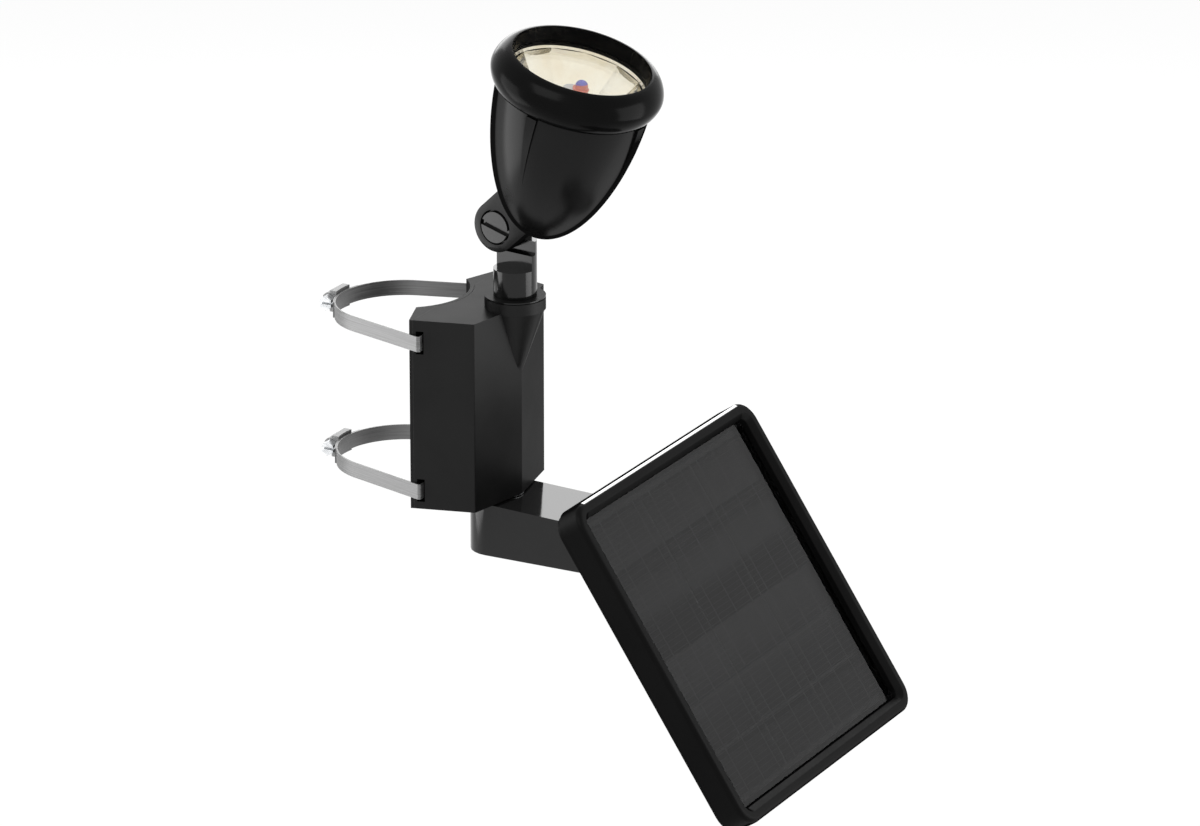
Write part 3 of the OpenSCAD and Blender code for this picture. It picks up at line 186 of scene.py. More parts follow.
# %% Hang the lamps
level_to_camera, level_to_right = Vector((-0.8839, -0.4677, 0)), Vector((0.4677, -0.8839, 0))
aim_y = -0.08
lamps = (("key_lamp", -30, 50, 2.4, 0.0, 1.3, 1.3, 3.6),
         ("left_box", -90, 0, 0.62, 0.06, 0.42, 0.70, 2.8),
         ("right_box", 78, 0, 0.9, 0.10, 0.62, 0.70, 3.2),
         ("back_box", 180, 21, 1.7, 0.0, 1.5, 1.0, 2.6))


def soft_lamp(name, around_deg, up_deg, away, rise, width, height, bright):
    """around_deg is 0 towards the camera and 90 to the picture's right; bright 1 is white."""
    a, e = math.radians(around_deg), math.radians(up_deg)
    level = level_to_camera * math.cos(a) + level_to_right * math.sin(a)
    aim = Vector((0, aim_y, rise))
    place = aim + (level * math.cos(e) + Vector((0, 0, math.sin(e)))) * away
    data = bpy.data.lights.new(name, "AREA")
    data.shape = "RECTANGLE"
    data.size, data.size_y = width, height
    data.energy = bright * math.pi * width * height
    lamp = bpy.data.objects.new(name, data)
    lamp.location = place
    lamp.rotation_mode = "QUATERNION"
    lamp.rotation_quaternion = (aim - place).to_track_quat("-Z", "Y")
    lamp.visible_camera = False
    lamp.visible_transmission = False
    bpy.context.scene.collection.objects.link(lamp)


for lamp_values in lamps:
    soft_lamp(*lamp_values)
print("lamps:", len(lamps))

# %% [markdown]
# ## Shared shader groups
#
# A moulded part keeps the fine texture of its mould, and steel strip keeps the lines of the
# rolls. Both are needed on more than one finish, so each is a node group with named inputs,
# built once. A group puts out only values, masks and normals that change over the surface.


# %% Helpers for node groups
def new_group(name, ins, outs):
    group = bpy.data.node_groups.new(name, "ShaderNodeTree")
    for label, kind, value in ins:
        socket = group.interface.new_socket(label, in_out="INPUT", socket_type=kind)
        socket.default_value = value
    for label, kind in outs:
        group.interface.new_socket(label, in_out="OUTPUT", socket_type=kind)
    return group, group.nodes.new("NodeGroupInput"), group.nodes.new("NodeGroupOutput")


def map_range(tree, source, low, high, to_low, to_high):
    node = tree.nodes.new("ShaderNodeMapRange")
    node.inputs["From Min"].default_value = low
    node.inputs["From Max"].default_value = high
    node.inputs["To Min"].default_value = to_low
    node.inputs["To Max"].default_value = to_high
    tree.links.new(source, node.inputs["Value"])
    return node.outputs["Result"]


FLOAT, COLOUR, VECTOR = "NodeSocketFloat", "NodeSocketColor", "NodeSocketVector"

# %% Moulded grain
grain, grain_in, grain_out = new_group(
    "moulded_grain",
    [("Scale", FLOAT, 900.0), ("Depth", FLOAT, 0.05), ("Smear", FLOAT, 14.0)],
    [("Normal", VECTOR), ("Patches", FLOAT)])
place = grain.nodes.new("ShaderNodeTexCoord")
fine = grain.nodes.new("ShaderNodeTexNoise")
fine.inputs["Detail"].default_value = 3.0
grain.links.new(place.outputs["Object"], fine.inputs["Vector"])
grain.links.new(grain_in.outputs["Scale"], fine.inputs["Scale"])
broad = grain.nodes.new("ShaderNodeTexNoise")
broad.inputs["Detail"].default_value = 4.0
broad.inputs["Roughness"].default_value = 0.6
grain.links.new(place.outputs["Object"], broad.inputs["Vector"])
grain.links.new(grain_in.outputs["Smear"], broad.inputs["Scale"])
bump = grain.nodes.new("ShaderNodeBump")
bump.inputs["Distance"].default_value = 0.0002
grain.links.new(grain_in.outputs["Depth"], bump.inputs["Strength"])
grain.links.new(fine.outputs["Fac"], bump.inputs["Height"])
grain.links.new(bump.outputs["Normal"], grain_out.inputs["Normal"])
grain.links.new(broad.outputs["Fac"], grain_out.inputs["Patches"])
print("group:", grain.name)

# %% Rolled steel lines
rolled, rolled_in, rolled_out = new_group(
    "rolled_lines",
    [("Along", VECTOR, (30.0, 30.0, 2600.0)), ("Depth", FLOAT, 0.12)],
    [("Normal", VECTOR), ("Lines", FLOAT)])
place = rolled.nodes.new("ShaderNodeTexCoord")
stretch = rolled.nodes.new("ShaderNodeVectorMath")
stretch.operation = "MULTIPLY"
rolled.links.new(place.outputs["Object"], stretch.inputs[0])
rolled.links.new(rolled_in.outputs["Along"], stretch.inputs[1])
lines = rolled.nodes.new("ShaderNodeTexNoise")
lines.inputs["Scale"].default_value = 1.0
lines.inputs["Detail"].default_value = 2.0
rolled.links.new(stretch.outputs[0], lines.inputs["Vector"])
bump = rolled.nodes.new("ShaderNodeBump")
bump.inputs["Distance"].default_value = 0.0001
rolled.links.new(rolled_in.outputs["Depth"], bump.inputs["Strength"])
rolled.links.new(lines.outputs["Fac"], bump.inputs["Height"])
rolled.links.new(bump.outputs["Normal"], rolled_out.inputs["Normal"])
rolled.links.new(lines.outputs["Fac"], rolled_out.inputs["Lines"])
print("group:", rolled.name)

# %% [markdown]
# ## Finishes
#
# Each finish is one material. Its plain numbers sit on the shader itself, and the groups feed
# only what varies: a little tone, a little roughness and the mould's grain.


# %% Helper for a finish
def start_finish(name, metallic=0.0, specular=0.5, coat=0.0):
    finish = bpy.data.materials.new(name)
    finish.use_nodes = True
    shader = finish.node_tree.nodes["Principled BSDF"]
    shader.inputs["Metallic"].default_value = metallic
    shader.inputs["Specular IOR Level"].default_value = specular
    shader.inputs["Coat Weight"].default_value = coat
    return finish, finish.node_tree, shader


def tone(tree, source, low, high, dark, light):
    ramp = tree.nodes.new("ShaderNodeValToRGB")
    ramp.color_ramp.elements[0].position = low
    ramp.color_ramp.elements[0].color = (*dark, 1)
    ramp.color_ramp.elements[1].position = high
    ramp.color_ramp.elements[1].color = (*light, 1)
    tree.links.new(source, ramp.inputs["Fac"])
    return ramp.outputs["Color"]


def moulded(name, dark, light, rough, scale=900.0, depth=0.05, smear=14.0, specular=0.5,
            coat=0.0):
    finish, tree, shader = start_finish(name, specular=specular, coat=coat)
    use = tree.nodes.new("ShaderNodeGroup")
    use.node_tree = grain
    use.inputs["Scale"].default_value = scale
    use.inputs["Depth"].default_value = depth
    use.inputs["Smear"].default_value = smear
    tree.links.new(tone(tree, use.outputs["Patches"], 0.3, 0.7, dark, light),
                   shader.inputs["Base Color"])
    tree.links.new(map_range(tree, use.outputs["Patches"], 0.3, 0.7, rough[0], rough[1]),
                   shader.inputs["Roughness"])
    tree.links.new(use.outputs["Normal"], shader.inputs["Normal"])
    return finish


def steel(name, dark, light, rough, along=(30.0, 30.0, 2600.0), depth=0.12):
    finish, tree, shader = start_finish(name, metallic=1.0)
    use = tree.nodes.new("ShaderNodeGroup")
    use.node_tree = rolled
    use.inputs["Along"].default_value = along
    use.inputs["Depth"].default_value = depth
    tree.links.new(tone(tree, use.outputs["Lines"], 0.35, 0.65, dark, light),
                   shader.inputs["Base Color"])
    tree.links.new(map_range(tree, use.outputs["Lines"], 0.3, 0.7, rough[0], rough[1]),
                   shader.inputs["Roughness"])
    tree.links.new(use.outputs["Normal"], shader.inputs["Normal"])
    return finish


# %% Black plastics
housing_black = moulded("housing_black", (0.0045, 0.0045, 0.0045), (0.0075, 0.0075, 0.0075),
                        (0.34, 0.44), scale=1100.0, depth=0.04, specular=0.17)
arm_black = moulded("arm_black", (0.005, 0.005, 0.005), (0.008, 0.008, 0.008),
                    (0.06, 0.10), scale=1100.0, depth=0.008, specular=0.31)
panel_black = moulded("panel_black", (0.0022, 0.0022, 0.0022), (0.0038, 0.0038, 0.0038),
                      (0.34, 0.44), scale=1000.0, depth=0.05, specular=0.05)
head_black = moulded("head_black", (0.003, 0.003, 0.003), (0.005, 0.005, 0.005),
                     (0.20, 0.28), scale=1200.0, depth=0.02, specular=0.15)
post_black = moulded("post_black", (0.003, 0.003, 0.003), (0.005, 0.005, 0.005),
                     (0.10, 0.17), scale=1200.0, depth=0.01, specular=0.32)
bezel_black = moulded("bezel_black", (0.002, 0.002, 0.002), (0.004, 0.004, 0.004),
                      (0.16, 0.24), scale=1200.0, depth=0.015, specular=0.05)
inner_black = moulded("inner_black", (0.012, 0.012, 0.012), (0.02, 0.02, 0.02), (0.5, 0.6),
                      specular=0.3)
seal_rubber = moulded("seal_rubber", (0.008, 0.008, 0.008), (0.013, 0.013, 0.013),
                      (0.65, 0.8), scale=1500.0, depth=0.12, specular=0.3)
print("plastics and rubber ready")


# %% Change a finish where it is seen at a glancing look
def by_slant(finish, socket, start, end, low, high):
    tree = finish.node_tree
    slant = tree.nodes.new("ShaderNodeLayerWeight")
    slant.inputs["Blend"].default_value = 0.5
    tree.links.new(map_range(tree, slant.outputs["Facing"], start, end, low, high),
                   tree.nodes["Principled BSDF"].inputs[socket])


by_slant(housing_black, "Specular IOR Level", 0.45, 0.66, 0.17, 0.02)
by_slant(head_black, "Specular IOR Level", 0.45, 0.68, 0.15, 0.0)
by_slant(panel_black, "Specular IOR Level", 0.50, 0.66, 0.05, 0.0)
by_slant(bezel_black, "Coat Weight", 0.70, 0.97, 0.0, 0.4)
bezel_black.node_tree.nodes["Principled BSDF"].inputs["Coat Roughness"].default_value = 0.08
top_edge_black = moulded("top_edge_black", (0.003, 0.003, 0.003), (0.005, 0.005, 0.005),
                         (0.12, 0.18), scale=1200.0, depth=0.01, specular=1.0, coat=1.0)
top_edge_black.node_tree.nodes["Principled BSDF"].inputs["Coat IOR"].default_value = 2.2
print("glancing looks set")

# %% Metals
band_steel = steel("band_steel", (0.16, 0.16, 0.16), (0.23, 0.23, 0.23), (0.42, 0.55))
zinc_steel = steel("zinc_steel", (0.50, 0.51, 0.52), (0.62, 0.63, 0.64), (0.25, 0.38),
                   along=(400.0, 400.0, 400.0), depth=0.05)
black_steel = moulded("black_steel", (0.006, 0.006, 0.006), (0.010, 0.010, 0.010),
                      (0.14, 0.22), scale=700.0, depth=0.03, specular=0.4)
sink_alloy = steel("sink_alloy", (0.62, 0.62, 0.63), (0.72, 0.72, 0.73), (0.3, 0.42),
                   along=(900.0, 60.0, 60.0), depth=0.06)
print("metals ready")

# %% Inside finishes
board_green = moulded("board_green", (0.02, 0.09, 0.04), (0.03, 0.13, 0.06), (0.28, 0.4),
                      scale=500.0, depth=0.05)
white_board = moulded("white_board", (0.78, 0.78, 0.75), (0.86, 0.86, 0.84), (0.4, 0.5),
                      scale=600.0, depth=0.04)
cell_backing = moulded("cell_backing", (0.0085, 0.0085, 0.009), (0.012, 0.012, 0.0125),
                       (0.55, 0.65), scale=500.0, depth=0.002, specular=0.02)
cell_jacket = moulded("cell_jacket", (0.30, 0.33, 0.31), (0.36, 0.39, 0.37), (0.3, 0.4),
                      scale=400.0, depth=0.03)
print("inside finishes ready")


# %% Clear finishes
def clear(name, tint, rough, index=1.5, depth=0.004):
    finish, tree, shader = start_finish(name)
    shader.inputs["Transmission Weight"].default_value = 1.0
    shader.inputs["Base Color"].default_value = (*tint, 1)
    shader.inputs["IOR"].default_value = index
    use = tree.nodes.new("ShaderNodeGroup")
    use.node_tree = grain
    use.inputs["Scale"].default_value = 60.0
    use.inputs["Depth"].default_value = depth
    use.inputs["Smear"].default_value = 9.0
    tree.links.new(map_range(tree, use.outputs["Patches"], 0.3, 0.7, rough[0], rough[1]),
                   shader.inputs["Roughness"])
    tree.links.new(use.outputs["Normal"], shader.inputs["Normal"])
    return finish


lens_clear = clear("lens_clear", (0.98, 0.98, 0.97), (0.0, 0.03), index=1.25)
pane_clear = clear("pane_clear", (0.24, 0.24, 0.245), (0.0, 0.015), index=1.29, depth=0.0)
print("clear finishes ready")

# %% [markdown]
# ## Solar cells
#
# A cell is a thin dark slice with fine silver fingers across it and broader bars. Behind dark
# glass they show only as a faint grid. The lines are drawn by the shader from the cell's own
# place, because a thousand tiny strips would cost far more than they show.

# %% Silicon finish
panel_tilt = 56.7
finger_pitch, finger_share, bar_pitch, bar_share = 0.0032, 0.10, 0.0193, 0.06
silicon, tree, shader = start_finish("silicon", specular=0.02)
place = tree.nodes.new("ShaderNodeTexCoord")
turned = tree.nodes.new("ShaderNodeVectorRotate")
turned.rotation_type = "X_AXIS"
turned.inputs["Angle"].default_value = -math.radians(panel_tilt)
tree.links.new(place.outputs["Object"], turned.inputs["Vector"])
parts = tree.nodes.new("ShaderNodeSeparateXYZ")
tree.links.new(turned.outputs[0], parts.inputs[0])


def stripes(source, pitch, share):
    times = tree.nodes.new("ShaderNodeMath")
    times.operation = "DIVIDE"
    times.inputs[1].default_value = pitch
    tree.links.new(source, times.inputs[0])
    part = tree.nodes.new("ShaderNodeMath")
    part.operation = "FRACT"
    tree.links.new(times.outputs[0], part.inputs[0])
    less = tree.nodes.new("ShaderNodeMath")
    less.operation = "LESS_THAN"
    less.inputs[1].default_value = share
    tree.links.new(part.outputs[0], less.inputs[0])
    return less.outputs[0]


fingers = stripes(parts.outputs["Y"], finger_pitch, finger_share)
bars = stripes(parts.outputs["X"], bar_pitch, bar_share)
both = tree.nodes.new("ShaderNodeMath")
both.operation = "MAXIMUM"
tree.links.new(fingers, both.inputs[0])
tree.links.new(bars, both.inputs[1])
cloud = tree.nodes.new("ShaderNodeTexNoise")
cloud.inputs["Scale"].default_value = 120.0
tree.links.new(place.outputs["Object"], cloud.inputs["Vector"])
slice_tone = tone(tree, cloud.outputs["Fac"], 0.3, 0.7, (0.010, 0.010, 0.0105),
                  (0.013, 0.013, 0.0135))
mixed = tree.nodes.new("ShaderNodeMix")
mixed.data_type = "RGBA"
tree.links.new(both.outputs[0], mixed.inputs[0])
tree.links.new(slice_tone, mixed.inputs[6])
mixed.inputs[7].default_value = (0.060, 0.060, 0.062, 1)
tree.links.new(mixed.outputs[2], shader.inputs["Base Color"])
tree.links.new(map_range(tree, cloud.outputs["Fac"], 0.3, 0.7, 0.38, 0.5),
               shader.inputs["Roughness"])
print("silicon ready")

# %% [markdown]
# ## Reflector and light source
#
# The reflector is a bright cream dish pressed into facets, and the source is a small lamp near
# its middle: an amber base under a dome coloured violet, which is a painted sheen for the light
# its clear dome reflects.

# %% Reflector and emitter finishes
cream_bright, tree, shader = start_finish("cream_bright", metallic=1.0)
use = tree.nodes.new("ShaderNodeGroup")
use.node_tree = grain
use.inputs["Scale"].default_value = 300.0
use.inputs["Depth"].default_value = 0.02
use.inputs["Smear"].default_value = 45.0
tree.links.new(tone(tree, use.outputs["Patches"], 0.3, 0.7, (0.88, 0.79, 0.60),
                    (0.97, 0.93, 0.80)), shader.inputs["Base Color"])
tree.links.new(map_range(tree, use.outputs["Patches"], 0.3, 0.7, 0.12, 0.22),
               shader.inputs["Roughness"])
tree.links.new(use.outputs["Normal"], shader.inputs["Normal"])

emitter_amber_and_sheen, tree, shader = start_finish("emitter_amber_and_sheen", specular=0.6, coat=0.6)
place = tree.nodes.new("ShaderNodeTexCoord")
rise = tree.nodes.new("ShaderNodeSeparateXYZ")
tree.links.new(place.outputs["Generated"], rise.inputs[0])
# Painted sheen: the violet on the dome's upper part stands in for light reflected by the clear
# dome; the amber below is the base's own colour.
amber_and_painted_sheen = tone(tree, rise.outputs["Z"], 0.60, 0.70, (0.90, 0.16, 0.06),
                    (0.10, 0.09, 0.62))
tree.links.new(amber_and_painted_sheen, shader.inputs["Base Color"])
speckle = tree.nodes.new("ShaderNodeTexNoise")
speckle.inputs["Scale"].default_value = 40.0
tree.links.new(place.outputs["Generated"], speckle.inputs["Vector"])
tree.links.new(map_range(tree, speckle.outputs["Fac"], 0.3, 0.7, 0.15, 0.3),
               shader.inputs["Roughness"])
print("reflector and emitter ready")

# %% [markdown]
# ## Each solid gets its finish
#
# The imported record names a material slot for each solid. One table turns slots into finishes,
# so nothing is left in a flat colour, also where only an exploded view would show it.

# %% Assign the finishes
slot_finish = {
    "moulded": housing_black, "moulded_inner": inner_black, "bezel_gloss": bezel_black,
    "seal_rubber": seal_rubber, "band_steel": band_steel, "zinc_steel": zinc_steel,
    "black_steel": black_steel, "cell_jacket": cell_jacket, "cream": cream_bright,
    "clear": lens_clear, "panel_glass": pane_clear, "silicon": silicon, "board": board_green,
    "white_board": white_board, "sink": sink_alloy, "emitter": emitter_amber_and_sheen}
node_slot = {s["node"]: s["material_slot"] for s in frame["record"]["subparts"]}
own_finish = {"head_shell": head_black, "swivel_post": post_black, "panel_frame": panel_black,
              "panel_back": panel_black, "panel_arm": arm_black, "arm_cover": arm_black,
              "cell_board": cell_backing}
for name, solid in nodes.items():
    finish = own_finish.get(name, slot_finish[node_slot[name]])
    solid.data.materials.clear()
    solid.data.materials.append(finish)
print("dressed solids:", len(nodes))

# %% [markdown]
# ## Softened edges
#
# No moulded edge is truly sharp: a small radius catches a thin line of light, and that line is
# what makes a black object readable. A solid's crisp mesh is copied, its triangles are merged
# back into whole faces, and its sharp edges are bevelled. The copy then stands for the solid.
# Cutting the edges in the solid itself would cost the checks time and change nothing else.


# %% Helpers for pieces
def finish_mesh(mesh, angle=32.0):
    mesh.shade_smooth()
    mesh.set_sharp_from_angle(angle=math.radians(angle))


def place_piece(name, mesh, finish, body, stands_for=()):
    mesh.materials.clear()
    mesh.materials.append(finish)
    piece = bpy.data.objects.new(name, mesh)
    bpy.context.scene.collection.objects.link(piece)
    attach(piece, body)
    if stands_for:
        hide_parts(*stands_for)
    return piece


node_body = {n: b for b, ns in frame["record"]["behaviour"]["bodies"].items() for n in ns}


def softened(node, radius, finish, steps=2, sharp=38.0, flat=0.6):
    shape = bmesh.new()
    shape.from_mesh(nodes[node].data)
    bmesh.ops.remove_doubles(shape, verts=shape.verts, dist=2e-6)
    bmesh.ops.dissolve_limit(shape, angle_limit=math.radians(flat), verts=shape.verts,
                             edges=shape.edges)
    shape.normal_update()
    edges = [e for e in shape.edges if len(e.link_faces) == 2
             and e.calc_face_angle(0) > math.radians(sharp)]
    bmesh.ops.bevel(shape, geom=edges, offset=radius * MM, segments=steps, profile=0.5,
                    affect="EDGES", clamp_overlap=True)
    bmesh.ops.remove_doubles(shape, verts=shape.verts, dist=2e-6)
    mesh = bpy.data.meshes.new("soft_" + node)
    shape.to_mesh(mesh)
    shape.free()
    finish_mesh(mesh)
    piece = place_piece("soft_" + node, mesh, finish, node_body[node], [node])
    weighted = piece.modifiers.new("flat_faces", "WEIGHTED_NORMAL")
    weighted.keep_sharp = True
    print("softened", node, "faces:", len(mesh.polygons), "edges:", len(edges))
    return piece


# %% Soften the moulded pieces
housing_h, collar_from, level_face = 111.3, 0.4, 0.9
for node, radius, finish in (
        ("housing_shell", 0.35, housing_black), ("back_cover", 0.35, housing_black),
        ("panel_arm", 0.8, arm_black), ("arm_cover", 0.3, arm_black),
        ("swivel_post", 0.5, post_black), ("panel_back", 0.4, panel_black),
        ("switch_body", 0.3, inner_black), ("switch_button", 0.4, inner_black)):
    soft = softened(node, radius, finish)
    if node == "housing_shell":
        soft.data.materials.append(post_black)
        glossy = [f for f in soft.data.polygons if f.normal.z < level_face and min(
            soft.data.vertices[v].co.z for v in f.vertices) > (housing_h / 2 + collar_from) * MM]
        for face in glossy:
            face.material_index = 1
        print("glossy faces on the collar:", len(glossy))

# %% [markdown]
# ## Steel bands, buckles and screws
#
# The bands are thin strip, so their edges are broken by only a tenth of a millimetre.

# %% Soften the metal pieces
for node, radius, finish in (
        ("upper_band", 0.10, band_steel), ("lower_band", 0.10, band_steel),
        ("upper_buckle", 0.25, band_steel), ("lower_buckle", 0.25, band_steel),
        ("band_screws", 0.25, zinc_steel), ("tilt_screw", 0.35, black_steel),
        ("tilt_nut", 0.25, zinc_steel), ("hinge_bolt", 0.3, zinc_steel),
        ("hinge_nut", 0.25, zinc_steel), ("arm_bolt", 0.3, zinc_steel)):
    softened(node, radius, finish)

# %% [markdown]
# ## The lamp head's own frame
#
# The head leans out and is turned a little to one side. Its pieces are easiest to draw upright
# round their own axis and then carried to their place by one matrix: a turn about the post, a
# tilt about the ear's screw, and a shift up to the bezel's middle plane.

# %% Head frame
post_u, swivel_rest, pivot_back, pivot_z = 72.3, 8.2, 8.4, 101.75
head_tilt, head_off, bezel_rise = 16.4, 23.4, 103.7
post_frame = (Matrix.Translation((0, -post_u * MM, 0))
              @ Matrix.Rotation(math.radians(-swivel_rest), 4, "Z"))
pivot_frame = post_frame @ Matrix.Translation((0, pivot_back * MM, pivot_z * MM))
tilt_frame = pivot_frame @ Matrix.Rotation(math.radians(head_tilt), 4, "X")
head_frame = tilt_frame @ Matrix.Translation((0, -head_off * MM, bezel_rise * MM))
print("bezel centre:", [round(v, 4) for v in head_frame.translation])


# %% Lathe helper
def lathe(name, profile, steps, frame_matrix, closed=True, angle=32.0, sides=0, below=0.0):
    """profile is a list of (radius, height) in millimetres, turned round the frame's Z.

    Below the given height the turned shape has flat sides instead of a round one."""
    shape = bmesh.new()
    rings = []
    for radius, height in profile:
        if radius < 1e-6:
            rings.append([shape.verts.new((0, 0, height * MM))])
            continue
        ring = []
        for i in range(steps):
            a = 2 * math.pi * i / steps
            out = radius * MM
            if sides and height < below:
                half = math.pi / sides
                out *= math.cos(half) / math.cos(a % (2 * half) - half)
            ring.append(shape.verts.new((out * math.cos(a), out * math.sin(a), height * MM)))
        rings.append(ring)
    pairs = list(zip(rings, rings[1:])) + ([(rings[-1], rings[0])] if closed else [])
    for low, high in pairs:
        if len(low) == 1 and len(high) == 1:
            continue
        for i in range(steps):
            j = (i + 1) % steps
            corners = ([low[0], high[j], high[i]] if len(low) == 1 else
                       [low[i], low[j], high[0]] if len(high) == 1 else
                       [low[i], low[j], high[j], high[i]])
            shape.faces.new(corners)
    bmesh.ops.recalc_face_normals(shape, faces=shape.faces)
    bmesh.ops.transform(shape, matrix=frame_matrix, verts=shape.verts)
    mesh = bpy.data.meshes.new(name)
    shape.to_mesh(mesh)
    shape.free()
    finish_mesh(mesh, angle)
    return mesh


# %% [markdown]
# ## The bell
#
# The head's shell is a deep bell, steep at its mouth and round at its foot. Turning one curve
# on a lathe gives an even mesh, so highlights run down it without a ripple. The solid has
# the same curve with fewer steps.

# %% Turn the bell
bell_r, bell_low, bell_top, bell_wall, neck_r, neck_top = 43.75, -98.3, -7.8, 2.4, 42.45, -2.2
foot_power, side_power, steps_down, steps_round = 1.752, 2.079, 56, 128


def bell_at(height):
    share = min(1.0, max(0.0, (height - bell_low) / (bell_top - bell_low)))
    return bell_r * (1 - (1 - share) ** foot_power) ** (1 / side_power)


outer = []
for i in range(steps_down + 1):
    share = (i / steps_down) ** 2
    height = bell_low + (bell_top - bell_low) * share
    outer.append((bell_at(height), height))
inner = [(max(0.0, r - bell_wall), h + bell_wall * (1 - (h - bell_low) / (bell_top - bell_low)))
         for r, h in outer if r > bell_wall * 1.05]
bell_profile = outer + [(neck_r, bell_top), (neck_r, neck_top), (neck_r - bell_wall, neck_top),
                        (neck_r - bell_wall, bell_top)]
bell_profile += list(reversed(inner)) + [(0.0, bell_low + bell_wall)]
bell_mesh = lathe("lamp_bell", bell_profile, steps_round, head_frame, closed=False)
place_piece("lamp_bell", bell_mesh, head_black, "lamp_head", ["head_shell"])
print("bell faces:", len(bell_mesh.polygons))

# %% [markdown]
# ## Ribs under the bezel
#
# Four long wedges run down from the bezel and fade into the bell. Each is a flat-topped wedge
# with its foot a little inside the bell, so no gap can show.

# %% Make the ribs
rib_top, rib_l, rib_w, rib_tip_w, rib_rise, rib_sink = -10.2, 46.0, 6.6, 0.8, 1.5, 0.6
rib_first, rib_count, rib_steps = 84.0, 4, 24


def rib_mesh():
    shape = bmesh.new()
    for k in range(rib_count):
        turn = Matrix.Rotation(math.radians(-90 - rib_first + 360 / rib_count * k), 4, "Z")
        rows = []
        for i in range(rib_steps + 1):
            share = i / rib_steps
            height = rib_top - rib_l * share
            half = (rib_w * (1 - share) + rib_tip_w * share) / 2
            out = bell_at(height)
            top = math.sqrt(max(0.0, out ** 2 - half ** 2)) + rib_rise * (1 - share)
            foot = math.sqrt(max(0.0, out ** 2 - half ** 2)) - rib_sink
            rows.append([shape.verts.new(turn @ Vector((x * MM, y * MM, height * MM)))
                         for x, y in ((foot, -half), (top, -half), (top, half), (foot, half))])
        for a, b in zip(rows, rows[1:]):
            for i in range(3):
                shape.faces.new((a[i], a[i + 1], b[i + 1], b[i]))
        shape.faces.new(rows[0])
        shape.faces.new(list(reversed(rows[-1])))
    bmesh.ops.recalc_face_normals(shape, faces=shape.faces)
    bmesh.ops.transform(shape, matrix=head_frame, verts=shape.verts)
    mesh = bpy.data.meshes.new("bell_ribs")
    shape.to_mesh(mesh)
    shape.free()
    finish_mesh(mesh)
    return mesh


place_piece("bell_ribs", rib_mesh(), head_black, "lamp_head")
print("ribs:", rib_count)

# %% [markdown]
# ## The ear
#
# A flat ear on the bell's foot takes the tilt screw. It is cut from plate: a round end with a
# web that runs into the bell, a deep recess for the screw's head and a hole through it.

# %% Cut the ear
ear_near, ear_t, ear_r, ear_reach, ear_lean = 2.0, 9.5, 14.5, 26.0, 47.0
recess_r, recess_d, hole_r = 10.2, 3.0, 3.05
ear_soft, ear_soft_share, ear_steps = 0.5, 0.3, 48


def ring_of(shape, radius, x, steps, matrix):
    return [shape.verts.new(matrix @ Vector((x * MM, radius * MM * math.cos(a),
                                             radius * MM * math.sin(a))))
            for a in (2 * math.pi * i / steps for i in range(steps))]


def ear_mesh():
    shape = bmesh.new()
    matrix = tilt_frame @ Matrix.Rotation(math.radians(ear_lean - head_tilt), 4, "X")
    steps, soft, part = ear_steps, ear_soft, ear_soft * ear_soft_share
    near_x, far_x = ear_near - ear_t, ear_near

    def outline(x, inset):
        pts = []
        for i in range(steps // 2 + 1):
            a = math.pi + math.pi * i / (steps // 2)
            pts.append((math.cos(a) * (ear_r - inset), math.sin(a) * (ear_r - inset)))
        pts.append((ear_r - inset, ear_reach))
        pts.append((-ear_r + inset, ear_reach))
        return [shape.verts.new(matrix @ Vector((x * MM, y * MM, z * MM))) for y, z in pts]

    loops = [outline(near_x, soft), outline(near_x + part, part),
             outline(near_x + soft, 0.0), outline(far_x - soft, 0.0),
             outline(far_x - part, part), outline(far_x, soft)]
    count = len(loops[0])
    for a, b in zip(loops, loops[1:]):
        for i in range(count):
            j = (i + 1) % count
            shape.faces.new((a[i], a[j], b[j], b[i]))
    rims = [ring_of(shape, recess_r, near_x, steps, matrix),
            ring_of(shape, recess_r, near_x + recess_d, steps, matrix),
            ring_of(shape, hole_r, near_x + recess_d, steps, matrix),
            ring_of(shape, hole_r, far_x, steps, matrix)]
    for a, b in zip(rims, rims[1:]):
        for i in range(steps):
            j = (i + 1) % steps
            shape.faces.new((a[i], a[j], b[j], b[i]))
    for loop, ring in ((loops[0], rims[0]), (loops[-1], rims[-1])):
        edges = [shape.edges.get((v, ps[(i + 1) % len(ps)]))
                 for ps in (loop, ring) for i, v in enumerate(ps)]
        bmesh.ops.triangle_fill(shape, use_beauty=True, use_dissolve=True, edges=edges)
    bmesh.ops.recalc_face_normals(shape, faces=shape.faces)
    mesh = bpy.data.meshes.new("tilt_ear")
    shape.to_mesh(mesh)
    shape.free()
    finish_mesh(mesh)
    return mesh


ear = place_piece("tilt_ear", ear_mesh(), head_black, "lamp_head", ["head_shell"])
print("ear faces:", len(ear.data.polygons))

# %% [markdown]
# ## The bezel
#
# The bezel is a fat black ring, rounder than a tube: its section is a soft half oval with a
# thin lip at its foot. It is turned like the bell.

